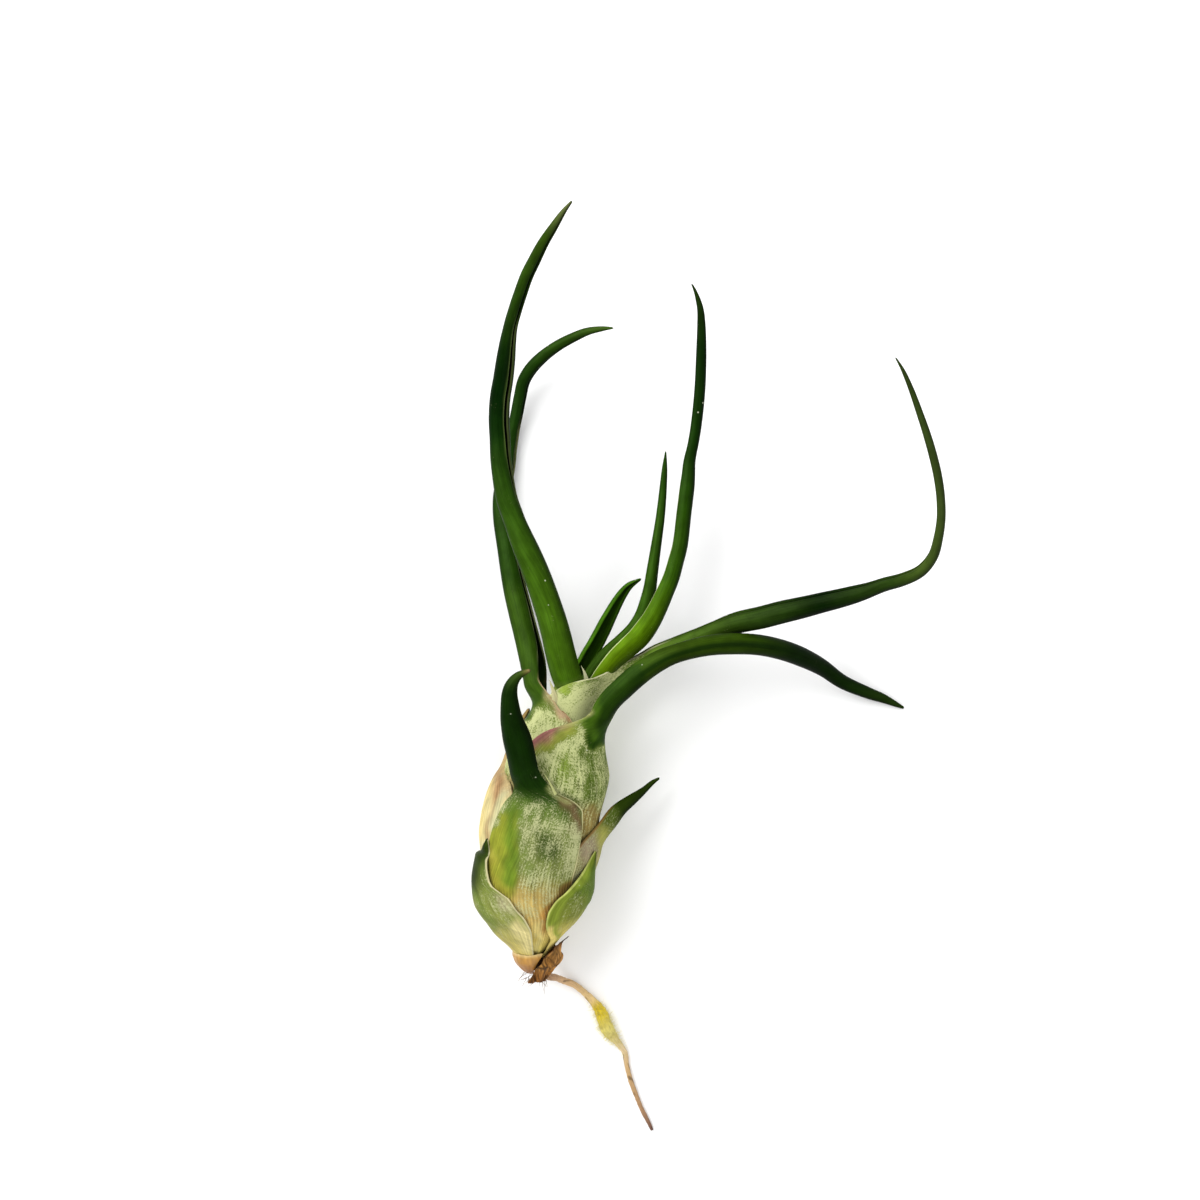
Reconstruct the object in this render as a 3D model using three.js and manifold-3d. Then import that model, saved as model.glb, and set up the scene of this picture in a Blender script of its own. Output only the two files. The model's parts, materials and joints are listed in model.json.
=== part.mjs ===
// A small bulbous air plant (Tillandsia bulbosa), lying on its side as lifted from its perch.
// Millimetres. +Y runs from the root end to the leaf tips, +Z is up, and the origin is on the
// flat spot of the bulb's belly, at the level of what the plant lies on.
//
// The bulb is twelve leaf bases, nested like the scales of an onion round a short stem. Each leaf
// is one piece: a broad clasping sheath, whose edges draw in at a shoulder, and a blade rolled
// into a tapering channelled tube. Two dead leaf bases and a wiry root are left at the root end.
import * as THREE from "three";
import Module from "manifold-3d";
import { mergeVertices } from "three/addons/utils/BufferGeometryUtils.js";

const wasm = await Module();
wasm.setup();

// ---- Driving dimensions -------------------------------------------------------------------
const SHEATH_THICK = 0.6; // wall of a leaf base
const BLADE_THICK = 0.7; // wall of a rolled blade
const GAP = 0.2; // air between one leaf base and the next
const LAYER = SHEATH_THICK + GAP; // step from one nested layer to the next
const CLEARANCE = 0.06; // least air kept where two leaves crowd each other
const BULB_START = -13.9; // Y of the root end of the bulb
const FADE = 3; // length over which an ended leaf base stops padding out those inside it
const FADE_ANGLE = 36; // degrees past its edge over which an outer leaf base stops doing so
const OUTER_LAYERS = 2; // layers whose leaf bases leave part of the bulb bare

// Distance along the bulb -> value. The bulb's axis is nearly straight and runs along +Y.
const axisX = track([
  [0, -0.7], [3, -0.9], [6, -1.05], [9, -1.05], [11, -0.9], [14.8, -0.2], [22, 0.9], [24.5, 1.55],
  [27, 2.15], [29.4, 2.6], [32, 3.2], [35.2, 3.95], [38, 4.8], [42, 6.1],
]);
const axisZ = track([[0, 7.6], [6, 8.3], [11, 8.87], [24, 8.9], [33, 9.7], [42, 10.6]]);
const bulbRadius = track([
  [0, 2.2], [2, 3], [3, 3.75], [4.1, 4.8], [5, 5.65], [6.3, 6.65], [7.6, 7.6], [8.8, 8.3], [10, 8.7],
  [12, 9], [20.5, 9.05], [24, 8.7], [26.5, 8.3], [29.4, 7.85], [32.3, 6.75], [35.2, 5.6], [38, 4.8],
  [41, 4.3], [44, 4.1],
]);
const stemRadius = track([[-1.2, 0.5], [-0.5, 1], [0.4, 1.4], [3, 1.6], [9, 1.4], [14, 1.1], [16.5, 0.5]]);

// Where along the bulb rings are cut: the same places in every layer of a kind, so that nested
// facets lie parallel, and fewer in the layers that are mostly hidden.
const RINGS = [3.2, 4.6, 6.1, 8, 10, 12, 14, 17, 20, 23];
const INNER_RINGS = [6, 9, 12, 18, 23, 26, 28, 30, 32, 34, 36];
const FIRST_INNER_LAYER = 3;

// Angles round the bulb are in degrees: 0 is up, 90 is +X and -90 is -X.
// sheath.left and sheath.right: the two edges, as [distance along the bulb, angle].
// sheath.blend: where along the bulb its left edge and its right edge start to draw in, and where
// it has become the blade.
// sheath.end: where it stops padding out the leaf bases inside it.
// sheath.rings: where its own rings are cut, if its edge needs them in other places.
// spine: the blade's centre line. girth: [share of the blade's length, radius of the roll].
// facing: the angle that the blade's back faces where it starts; twist turns it from there.
// roll: how far the blade wraps round each way from its back.
const LEAVES = [
  {
    name: "leaf_01_short_outer_left", layer: 0, colour: 0x8fa060, segments: 14,
    sheath: {
      blend: [14.8, 14, 18.2], end: 16, rings: [3.2, 4.6, 6.1, 7.3, 8.6, 9.5, 10.4, 11.6, 12.9],
      left: [[2, -205], [12, -204], [15, -200], [18.2, -160]],
      right: [
        [2, 4], [5.8, 3], [8.7, -4], [9.8, -13], [10.6, -20], [11, -29], [11.5, -40], [12, -44],
        [13.6, -51], [15.9, -54], [18.2, -48],
      ],
    },
    blade: {
      facing: -74,
      spine: [[-6, -0.9, 11.6], [-6.5, 1, 12.3], [-6.9, 2.8, 13.2], [-7, 4.9, 14.4]],
      girth: [[0, 2.4], [0.4, 1.7], [0.8, 0.85], [1, 0.25]],
      roll: [[0, 70], [1, 100]], twist: [[0, 0], [1, 0]], rings: 3,
    },
  },
  {
    name: "leaf_02_short_outer_right", layer: 0, colour: 0x93a85c, segments: 12,
    sheath: {
      blend: [13, 12.5, 15.8], end: 15, rings: [3.2, 4.6, 6.1, 7.6, 8.6, 9.7, 11],
      left: [
        [2, 42], [3.6, 40], [5.7, 25], [8.2, 18], [9.4, 19], [10.4, 23], [11.5, 30], [13.5, 40],
        [15.8, 54],
      ],
      right: [[2, 148], [10, 150], [13, 135], [15.8, 100]],
    },
    blade: {
      facing: 68,
      spine: [[5.4, -2.6, 11.5], [6.4, -0.7, 12], [7.4, 1.1, 12.5], [8.3, 3, 13]],
      girth: [[0, 2.2], [0.4, 1.5], [0.8, 0.75], [1, 0.25]],
      roll: [[0, 70], [1, 100]], twist: [[0, 0], [1, 0]], rings: 3,
    },
  },
  {
    name: "leaf_03_claw_front", layer: 1, colour: 0x6f8a4a, segments: 14,
    sheath: {
      blend: [21.5, 25.5, 29.5], end: 26,
      left: [
        [2, -80], [9, -78], [14, -64], [16.1, -57], [19.9, -50], [21.5, -46], [22.8, -43],
        [24.7, -38], [29.5, -62],
      ],
      right: [
        [2, 62], [8, 60], [11, 50], [13, 44], [15.2, 41], [21.6, 41], [24, 39], [25.2, 31],
        [25.9, 21], [26.2, 14], [26.8, 8], [28.1, 2], [29.5, 0],
      ],
    },
    blade: {
      facing: -36,
      spine: [
        [-0.9, 6.6, 14.4], [-1, 9.6, 15.7], [-1.1, 12.6, 17], [-1.5, 15.2, 18.1], [-2.1, 17.9, 19.3],
        [-2.7, 20.1, 20.3], [-3.3, 22.5, 21.6], [-3.5, 24.5, 22.8], [-3.5, 26.1, 23.5],
        [-3.1, 27.5, 24.2], [-2.2, 28.6, 24.7], [-0.5, 29.4, 25],
      ],
      girth: [
        [0, 2.9], [0.15, 2.6], [0.3, 2.34], [0.42, 2.2], [0.53, 2.08], [0.6, 1.84], [0.7, 1.45],
        [0.77, 1.23], [0.84, 1], [0.9, 0.72], [0.96, 0.42], [1, 0.2],
      ],
      roll: [[0, 75], [0.4, 100], [0.6, 125], [1, 140]], twist: [[0, 0], [1, 10]], rings: 9,
    },
  },
  {
    name: "leaf_04_short_right", layer: 2, colour: 0x8b9a58, segments: 12,
    sheath: {
      blend: [19, 16.5, 22], end: 19,
      left: [[3, 35], [12, 38], [17, 40], [19.2, 48], [20.4, 57], [22, 74]],
      right: [[3, 150], [14, 150], [19, 135], [22, 115]],
    },
    blade: {
      facing: 92,
      spine: [
        [6.7, 2.2, 9.3], [7.6, 3.6, 9.2], [8.4, 5, 9], [9.3, 6.3, 8.7], [10.3, 7.5, 8.3], [11.7, 8.7, 7.8],
        [13.4, 9.8, 7.2], [15.2, 11, 6.4], [16.7, 12.2, 5.6], [17.8, 12.8, 5],
      ],
      girth: [
        [0, 2.9], [0.16, 2.6], [0.3, 2.15], [0.4, 1.8], [0.52, 1.36], [0.67, 0.96], [0.8, 0.62],
        [0.92, 0.4], [1, 0.2],
      ],
      roll: [[0, 75], [0.4, 110], [1, 140]], twist: [[0, 0], [1, -20]], rings: 8,
    },
  },
  {
    name: "leaf_05_pale_left", layer: 2, colour: 0xb9ab78, segments: 12,
    sheath: {
      blend: [23, 25.5, 30], end: 26,
      left: [[3, -200], [18, -198], [24, -180], [30, -150]],
      right: [[3, -36], [22, -36], [25, -44], [27, -58], [30, -88]],
    },
    blade: {
      facing: -118,
      spine: [
        [-4.9, 8.8, 5.4], [-4.6, 12.2, 4.7], [-4, 15.6, 4.2], [-3.2, 18.6, 4.1],
        [-2.4, 21, 4.3], [-1.4, 23, 4.5],
      ],
      girth: [[0, 2.1], [0.3, 1.5], [0.6, 1], [0.85, 0.6], [1, 0.25]],
      roll: [[0, 75], [0.4, 110], [1, 140]], twist: [[0, 0], [1, 0]], rings: 6,
    },
  },
  {
    name: "leaf_06_arching_right", layer: 3, colour: 0x3c5a26, segments: 14,
    sheath: {
      blend: [35, 30, 37], end: 32.5,
      left: [
        [4, -62], [24, -60], [29, -50], [31.5, -42], [32.9, -35], [34.2, -24], [35.4, -7], [36.2, 4],
        [37, 14],
      ],
      right: [[4, 172], [24, 168], [29, 145], [32, 122], [37, 96]],
    },
    blade: {
      facing: 52,
      spine: [
        [6.2, 13.2, 12], [7.4, 16.6, 13.2], [8.2, 19.4, 14.3], [9.2, 23.2, 15.6], [10.5, 25.2, 16.4],
        [12, 26.6, 17], [13.7, 28.1, 17.6], [15.6, 29.5, 18], [17.5, 30.6, 18.1], [19.4, 31.4, 18],
        [22.7, 32.3, 17.3], [25.3, 32.7, 16.5], [28, 32.8, 15.5], [31.6, 32.6, 13.7],
        [35.3, 31.8, 11], [38.6, 30.6, 8.1], [41.8, 29, 5.2], [45.1, 26.8, 2.8], [49.1, 25.1, 1.25],
        [51.3, 24.3, 0.8], [54.6, 22.8, 0.35],
      ],
      girth: [
        [0, 1.9], [0.12, 1.85], [0.18, 1.9], [0.26, 1.8], [0.32, 1.62], [0.38, 1.4], [0.44, 1.48],
        [0.5, 1.56], [0.58, 1.52], [0.68, 1.46], [0.74, 1.34], [0.8, 1.15], [0.87, 1], [0.93, 0.8],
        [0.97, 0.5], [1, 0.2],
      ],
      roll: [[0, 85], [0.15, 110], [0.4, 155], [1, 160]], twist: [[0, 0], [0.3, 10], [1, 20]],
      rings: 19,
    },
  },
  {
    name: "leaf_07_long_low_left", layer: 4, colour: 0x3f6424, segments: 14,
    sheath: {
      blend: [30, 37.5, 41], end: 39,
      left: [[5, -196], [28, -190], [34, -172], [41, -140]],
      right: [
        [5, 44], [28, 40], [33, 30], [35.4, 18], [36.8, 4], [37.1, -8], [37.5, -19], [38.5, -34],
        [39.8, -52], [41, -64],
      ],
    },
    blade: {
      facing: -76,
      spine: [
        [1.4, 17.6, 9.8], [0.9, 21, 9.5], [0.35, 24.4, 9], [-0.2, 27.4, 8.1], [-1.5, 32.6, 6.2],
        [-2.7, 37.2, 5], [-3.9, 42, 3.8], [-4.8, 46.9, 2.6], [-5.5, 51.2, 1.65], [-5.6, 54.2, 1.35],
        [-5.2, 57.2, 1.2], [-4.7, 59.6, 1.1], [-4.3, 62.2, 1.15], [-3.9, 64.6, 1.4],
        [-3.4, 66.8, 1.8], [-2.9, 69.2, 2.4], [-2.3, 71.5, 3.3], [-1, 73.4, 4.5], [0.7, 74.9, 5.7],
        [2.7, 76.2, 6.9], [4.8, 77.2, 7.9], [7.2, 78.1, 8.7], [9.6, 78.4, 9.5], [11, 78.4, 10],
      ],
      girth: [
        [0, 2.2], [0.1, 2.1], [0.16, 1.98], [0.24, 1.84], [0.3, 1.8], [0.38, 1.6], [0.44, 1.5],
        [0.52, 1.4], [0.58, 1.22], [0.63, 1], [0.7, 0.95], [0.8, 0.96], [0.86, 0.86], [0.92, 0.72],
        [0.97, 0.45], [1, 0.16],
      ],
      roll: [[0, 85], [0.12, 105], [0.3, 150], [1, 160]], twist: [[0, 0], [0.2, -40], [1, -40]],
      rings: 19,
    },
  },
  {
    name: "leaf_08_long_rising_right", layer: 5, colour: 0x33501f, segments: 16,
    sheath: {
      blend: [42, 37, 44.5], end: 60,
      left: [
        [6, -76], [33, -72], [38, -62], [39, -46], [40.1, -31], [41.2, -12], [41.8, 5],
        [42.2, 36], [42.6, 64], [44.5, 80],
      ],
      right: [[6, 250], [28, 240], [34, 210], [38, 190], [44.5, 165]],
    },
    blade: {
      facing: 104,
      spine: [
        [5.6, 20, 9.8], [7, 23, 9.2], [8.8, 25.4, 8.8], [10.5, 27, 8.7], [12.6, 28.2, 8.9],
        [14.8, 29.4, 9.3], [17.1, 31, 9.9], [20, 32.3, 10.4], [23.2, 33.6, 11.1], [26, 34.8, 12.4],
        [28.9, 35.8, 13.7], [32, 36.5, 15.1], [34.9, 37.3, 16.4], [37.7, 38, 18.1],
        [40.3, 38.7, 20.1], [43, 39.4, 22], [45.6, 40.2, 24.1], [47.9, 41.1, 26.2], [50.1, 41.8, 28.7],
        [52.1, 42.9, 31.2], [53.3, 44.8, 33.8], [53.6, 47.1, 36.2], [53.6, 49.7, 38.4],
        [53.2, 52.3, 40.4], [52.5, 54.9, 42.4], [51.6, 57.4, 44.2], [50.5, 60, 46.1],
        [49.3, 62.6, 47.8], [48, 65.3, 49.5], [46.7, 67.6, 51], [45.6, 69.1, 52],
      ],
      girth: [
        [0, 2.2], [0.06, 2.1], [0.14, 1.6], [0.2, 1.4], [0.27, 1.36], [0.31, 1.58], [0.37, 1.64],
        [0.44, 1.48], [0.5, 1.3], [0.55, 1], [0.62, 0.86], [0.68, 0.7], [0.75, 0.6], [0.84, 0.56],
        [0.92, 0.44], [0.97, 0.3], [1, 0.12],
      ],
      roll: [[0, 85], [0.08, 92], [0.2, 140], [1, 160]], twist: [[0, 0], [0.4, 20], [1, 40]],
      rings: 23,
    },
  },
  {
    name: "leaf_09_long_upright", layer: 6, colour: 0x3f6d22, segments: 10,
    sheath: {
      blend: [36.5, 36.5, 42.5], end: 60,
      left: [[8, -130], [34, -112], [42.5, -100]],
      right: [[8, 95], [34, 72], [42.5, 60]],
    },
    blade: {
      facing: -18,
      spine: [
        [4.2, 21, 11], [4.7, 24, 11.2], [4.8, 26.4, 11.7], [4.3, 28.4, 12.6], [3.4, 31.3, 13.9],
        [2.7, 34.2, 14.6], [1.9, 37.1, 14.9], [0.1, 42.4, 15.5], [-2.2, 47.9, 16.1],
        [-3.3, 50.8, 16.4], [-4.2, 53.4, 16.8], [-4.7, 56.2, 17.2], [-5, 58.9, 17.6],
        [-5.1, 61.7, 18.1], [-5.2, 64.6, 18.8], [-5, 67.3, 19.7], [-4.5, 69.9, 20.9],
        [-4.1, 72.2, 22.5], [-3.7, 74.5, 24.3], [-3.2, 76.6, 26.3], [-2.5, 78.5, 28.3],
        [-1.7, 80.4, 30.3], [-0.8, 82.4, 32.2], [0.3, 84.2, 34.1], [1.5, 86.1, 36],
        [2.9, 87.9, 37.8], [4.3, 89.7, 39.3], [5.4, 90.9, 40],
      ],
      girth: [
        [0, 2.3], [0.1, 2.33], [0.14, 2.18], [0.2, 2.05], [0.27, 1.93], [0.32, 1.84], [0.38, 1.6],
        [0.44, 1.53], [0.5, 1.48], [0.6, 1.46], [0.66, 1.36], [0.7, 1.16], [0.735, 0.99], [0.8, 0.93],
        [0.87, 0.85], [0.92, 0.7], [0.96, 0.5], [1, 0.16],
      ],
      roll: [[0, 80], [0.09, 88], [0.16, 125], [0.3, 155], [1, 164]],
      twist: [[0, 0], [0.2, -10], [0.4, -70], [0.55, -112], [1, -118]], rings: 22,
    },
  },
  {
    name: "leaf_10_bright_upright", layer: 7, colour: 0x5c8c1e, segments: 10,
    sheath: {
      blend: [35, 35, 41.5], end: 60,
      left: [[9, -20], [30, -10], [41.5, -30]],
      right: [[9, 178], [30, 172], [41.5, 160]],
    },
    blade: {
      facing: 66,
      spine: [
        [5, 20, 10.2], [6.2, 23.4, 10.2], [7.6, 26.4, 10.3], [9.2, 29, 10.6], [11, 31, 10.8],
        [12.6, 32.3, 10.8], [14.4, 33.8, 10.5], [16, 35.8, 10.2], [17.2, 37.9, 9.9], [18.2, 40, 9.6],
        [19.2, 42.3, 9.4], [19.9, 44.7, 9.1], [20.5, 47, 9], [21.1, 51.9, 9], [21.7, 56.8, 9],
        [21.9, 59.2, 9.1], [22.4, 61.6, 9.4], [22.8, 64, 9.8], [23.3, 68.8, 10.8], [23.5, 73.6, 11.9],
        [23.5, 78.3, 13.2], [23.3, 80.6, 14.1], [22.6, 82.9, 14.7], [22, 84.1, 15],
      ],
      girth: [
        [0, 1.9], [0.12, 1.95], [0.2, 1.94], [0.25, 1.88], [0.29, 1.7], [0.35, 1.48], [0.42, 1.33],
        [0.5, 1.25], [0.57, 1.24], [0.61, 1.1], [0.66, 0.94], [0.76, 0.9], [0.84, 0.84], [0.9, 0.7],
        [0.95, 0.5], [1, 0.14],
      ],
      roll: [[0, 85], [0.14, 92], [0.28, 130], [1, 158]], twist: [[0, 0], [0.5, 10], [1, 30]],
      rings: 20,
    },
  },
  {
    name: "leaf_11_slim_upright", layer: 8, colour: 0x4b7a24,
    blade: {
      facing: 66,
      spine: [
        [1.7, 4.6, 8.9], [3, 14, 9.4], [4.6, 20, 9.8], [5.7, 24, 9.4], [7.2, 27.6, 8.7],
        [9.4, 30.6, 7.8], [12.3, 33.2, 6.9], [13.9, 34.8, 6.6], [15.1, 36.7, 6.5], [15.8, 38.7, 6.7],
        [16.3, 40.8, 6.9], [16.6, 42.9, 7], [17.2, 47, 7.3], [17.8, 51.2, 7.7], [18.2, 55.4, 8.4],
        [18.4, 58.5, 9.2], [18.5, 60.6, 10],
      ],
      girth: [
        [0, 0.8], [0.3, 0.95], [0.5, 1.12], [0.6, 1.12], [0.7, 0.92], [0.8, 0.74], [0.88, 0.62],
        [0.95, 0.45], [1, 0.13],
      ],
      roll: [[0, 110], [0.4, 130], [1, 155]], twist: [[0, 0], [1, 0]], rings: 16,
    },
  },
  {
    name: "leaf_12_young_centre", layer: 8, colour: 0x2f5a1c,
    blade: {
      facing: 190,
      spine: [
        [-0.4, 5, 8.6], [1.2, 15, 8.6], [2.6, 20, 8.4], [3.9, 24, 7.9], [6, 28.3, 7], [7.3, 30.8, 6.6],
        [8.2, 32.3, 6.5], [9, 33.8, 6.5], [10.3, 36.4, 6.8], [11.7, 39, 7.3], [12.5, 40.2, 7.7],
        [13.3, 41.1, 8.3], [15, 42.1, 9.5],
      ],
      girth: [
        [0, 0.8], [0.4, 1.05], [0.68, 1.2], [0.76, 1.16], [0.82, 1.02], [0.88, 0.84], [0.94, 0.58],
        [1, 0.15],
      ],
      roll: [[0, 110], [0.5, 125], [1, 150]], twist: [[0, 0], [1, 0]], rings: 12,
    },
  },
];

// Dead leaf bases at the root end, each a torn scale on the outside of the bulb: edges as for a
// sheath, and the far end as one length for each point across.
const OLD_SCALES = [
  {
    name: "old_scale_tan", colour: 0xd39a5a, from: -1.6,
    radius: [[-1.6, 0.95], [-1.16, 1.7], [-0.1, 2.55], [1, 2.9], [2, 3.1]],
    left: [[-1.6, -170], [2, -150]], right: [[-1.6, 0], [0.3, 12], [1.8, 32]],
    ends: [1.2, 1.6, 1.8, 1.9, 1.95, 1.9, 1.85, 1.95, 1.9, 1.8, 1.85, 1.9, 1.85], rings: 4, crumple: 0,
  },
  {
    name: "old_scale_brown", colour: 0x5f4329, from: -2.7,
    radius: [[-2.7, 1.8], [-1.2, 2.6], [0, 3.6], [1.75, 3.95], [2.8, 4.5], [4, 5.4]],
    left: [[-2.7, -20], [-1, 4], [0.3, 16], [1.8, 36], [4, 44]], right: [[-2.7, 170], [4, 165]],
    ends: [1.6, 2.7, 3.7, 3.1, 2.6, 2.9, 1.4, 1.7, 0.7, 1.6, 1.1, 2, 1.2], rings: 6, crumple: 0.16,
  },
];

const ROOT = {
  spine: [
    [0.2, -15.4, 7.1], [0.9, -16.1, 6], [1.6, -16.7, 4.4], [2.4, -17.2, 2.6], [3.5, -17.9, 1.1],
    [5.3, -18.7, 0.5], [7.5, -20.6, 0.45], [9, -22.7, 0.6], [10.2, -25.3, 0.85], [11.7, -27.3, 0.65],
    [12.7, -28.7, 0.45], [13, -30.6, 0.45], [13.8, -33.6, 0.45], [15, -36.6, 0.4], [16.8, -40.4, 0.35],
  ],
  girth: [
    [0, 0.8], [0.08, 0.55], [0.3, 0.46], [0.38, 0.62], [0.46, 0.95], [0.52, 0.9], [0.58, 0.56],
    [0.64, 0.4], [0.85, 0.34], [0.95, 0.3], [1, 0.25],
  ],
  sides: 8, rings: 28, colour: 0x9c7a4c,
};

// ---- Curves -------------------------------------------------------------------------------

/** A smooth function through [place, value] pairs, which never overshoots them. */
function track(pairs) {
  const rise = (i) => (pairs[i + 1][1] - pairs[i][1]) / (pairs[i + 1][0] - pairs[i][0]);
  const last = pairs.length - 1;
  const slope = pairs.map((_, i) => {
    if (i === 0) return rise(0);
    if (i === last) return rise(last - 1);
    const before = rise(i - 1);
    const after = rise(i);
    return before * after > 0 ? (2 * before * after) / (before + after) : 0;
  });
  return (place) => {
    const x = Math.min(Math.max(place, pairs[0][0]), pairs[last][0]);
    let i = 0;
    while (i < last - 1 && x > pairs[i + 1][0]) i += 1;
    const span = pairs[i + 1][0] - pairs[i][0];
    const u = (x - pairs[i][0]) / span;
    const [a, b] = [pairs[i][1], pairs[i + 1][1]];
    const [ma, mb] = [slope[i] * span, slope[i + 1] * span];
    const [u2, u3] = [u * u, u * u * u];
    return (2 * u3 - 3 * u2 + 1) * a + (u3 - 2 * u2 + u) * ma + (3 * u2 - 2 * u3) * b + (u3 - u2) * mb;
  };
}

const smooth = (x) => THREE.MathUtils.smoothstep(x, 0, 1);
const radians = THREE.MathUtils.degToRad;

/** The bulb's axis at a distance s along it: a point, and the directions up and right of it. */
function bulbFrame(s) {
  const at = (t) => new THREE.Vector3(axisX(t), BULB_START + t, axisZ(t));
  const along = at(s + 0.5).sub(at(s - 0.5)).normalize();
  const right = along.clone().cross(new THREE.Vector3(0, 0, 1)).normalize();
  return { centre: at(s), right, up: right.clone().cross(along) };
}

/** The direction out of the bulb at an angle round it. */
function outward(frame, angle) {
  return frame.up.clone().multiplyScalar(Math.cos(angle)).addScaledVector(frame.right, Math.sin(angle));
}

/** How far a leaf base covers a place on the bulb: 1 on it, fading to 0 past its end and its edges. */
function cover({ layer, end, left, right }, s, angle) {
  const along = 1 - smooth((s - end + FADE) / (2 * FADE));
  if (layer >= OUTER_LAYERS) return along;
  const [low, high] = [left(s), right(s)];
  const past = Math.min(...[-360, 0, 360].map((turn) => Math.max(low - angle - turn, angle + turn - high)));
  return along * (1 - smooth(past / FADE_ANGLE));
}

const covers = LEAVES.filter((leaf) => leaf.sheath).map(({ layer, sheath }) => ({
  layer, end: sheath.end, left: track(sheath.left), right: track(sheath.right),
}));

/** The outer radius of a nested layer at a place: each layer that covers it there takes one step. */
function layerRadius(layer, s, angle) {
  let steps = 0;
  for (let outer = 0; outer < layer; outer += 1) {
    steps += Math.max(...covers.filter((c) => c.layer === outer).map((c) => cover(c, s, angle)));
  }
  return bulbRadius(s) - LAYER * steps;
}

/** Where a leaf base leaves the stem, at the middle of its width. */
function sheathStart({ layer, sheath }) {
  const [left, right] = [track(sheath.left), track(sheath.right)];
  let s = 2.1;
  while (layerRadius(layer, s, (left(s) + right(s)) / 2) - SHEATH_THICK < stemRadius(s) + GAP) s += 0.1;
  return s;
}

// ---- Leaves -------------------------------------------------------------------------------

const SAMPLES = 200;
const BLEND_RINGS = 4;
const BLADE_SEGMENTS = 7;

/** What a blade is like at each share of its length, and the share at which it reaches a given Y. */
function bladeTools(blade) {
  const curve = new THREE.CatmullRomCurve3(blade.spine.map((p) => new THREE.Vector3(...p)));
  const [twist, girth, roll] = [track(blade.twist), track(blade.girth), track(blade.roll)];
  const shares = Array.from({ length: SAMPLES + 1 }, (_, i) => i / SAMPLES);
  let back = outward(bulbFrame(blade.spine[0][1] - BULB_START), radians(blade.facing));
  const backs = shares.map((share) => {
    const along = curve.getTangentAt(share);
    back = back.clone().addScaledVector(along, -back.dot(along)).normalize();
    return back;
  });
  const at = (share) => {
    const along = curve.getTangentAt(share);
    const nearest = backs[Math.round(share * SAMPLES)].clone();
    const turned = nearest.addScaledVector(along, -nearest.dot(along)).normalize();
    turned.applyAxisAngle(along, radians(twist(share)));
    const side = along.clone().cross(turned);
    return { centre: curve.getPointAt(share), back: turned, side, girth: girth(share), roll: roll(share) };
  };
  const shareAt = (y) => shares.find((share) => curve.getPointAt(share).y >= y);
  return { at, shareAt };
}

/** The stations of a leaf, from its root on the stem to just short of its tip. */
function stations(leaf, tools) {
  const { blade, sheath } = leaf;
  const found = [];
  let reach = 0;
  if (sheath) {
    const start = sheathStart(leaf);
    const [fromLeft, fromRight, to] = sheath.blend;
    const from = Math.min(fromLeft, fromRight);
    const rings = sheath.rings ?? (leaf.layer < FIRST_INNER_LAYER ? RINGS : INNER_RINGS);
    const middle = rings.filter((s) => s > start + 0.7 && s < from - 0.7);
    [start, ...middle, from].forEach((s) => found.push({ s, share: 0 }));
    for (let k = 1; k < BLEND_RINGS; k += 1) {
      const s = from + ((to - from) * k) / BLEND_RINGS;
      found.push({ s, share: tools.shareAt(BULB_START + s) });
    }
    reach = tools.shareAt(BULB_START + to);
  }
  for (let k = 0; k < blade.rings; k += 1) {
    found.push({ s: Infinity, share: reach + ((1 - reach) * k) / blade.rings });
  }
  return found;
}

/** A point across a rolled blade, at a distance in from its outside. */
function bladePoint(section, across, depth) {
  const angle = (2 * across - 1) * radians(section.roll);
  const radius = Math.max(section.girth - depth, 0.15 * section.girth);
  return section.centre.clone()
    .addScaledVector(section.back, radius * Math.cos(angle))
    .addScaledVector(section.side, radius * Math.sin(angle));
}

/** A point across a leaf base, at a distance in from its outside. */
function sheathPoint(leaf, tools, s, across, depth, pad) {
  const frame = bulbFrame(s);
  const extra = THREE.MathUtils.radToDeg(pad / bulbRadius(s));
  const [low, high] = [tools.left(s) - extra, tools.right(s) + extra];
  const angle = low + (high - low) * across;
  const radius = layerRadius(leaf.layer, s, angle) - depth;
  return frame.centre.clone().addScaledVector(outward(frame, radians(angle)), radius);
}

/** A leaf as a geometry, made thicker all round by pad. */
function leafGeometry(leaf, pad = 0) {
  const { sheath, blade } = leaf;
  const tools = {
    ...bladeTools(blade),
    left: sheath && track(sheath.left),
    right: sheath && track(sheath.right),
  };
  const rows = stations(leaf, tools).map(({ s, share }) => {
    const rolled = s === Infinity;
    const segments = rolled ? BLADE_SEGMENTS : leaf.segments;
    const section = tools.at(share);
    const row = (sheathDepth, bladeDepth) =>
      Array.from({ length: segments + 1 }, (_, j) => {
        const across = j / segments;
        const point = bladePoint(section, across, bladeDepth);
        if (rolled) return point;
        const [fromLeft, fromRight, to] = sheath.blend;
        const from = fromLeft + (fromRight - fromLeft) * across;
        const weight = smooth((s - from) / (to - from));
        return sheathPoint(leaf, tools, s, across, sheathDepth, pad).lerp(point, weight);
      });
    return { outer: row(-pad, -pad), inner: row(SHEATH_THICK + pad, BLADE_THICK + pad) };
  });
  return skin(rows, new THREE.Vector3(...blade.spine.at(-1)));
}

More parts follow.
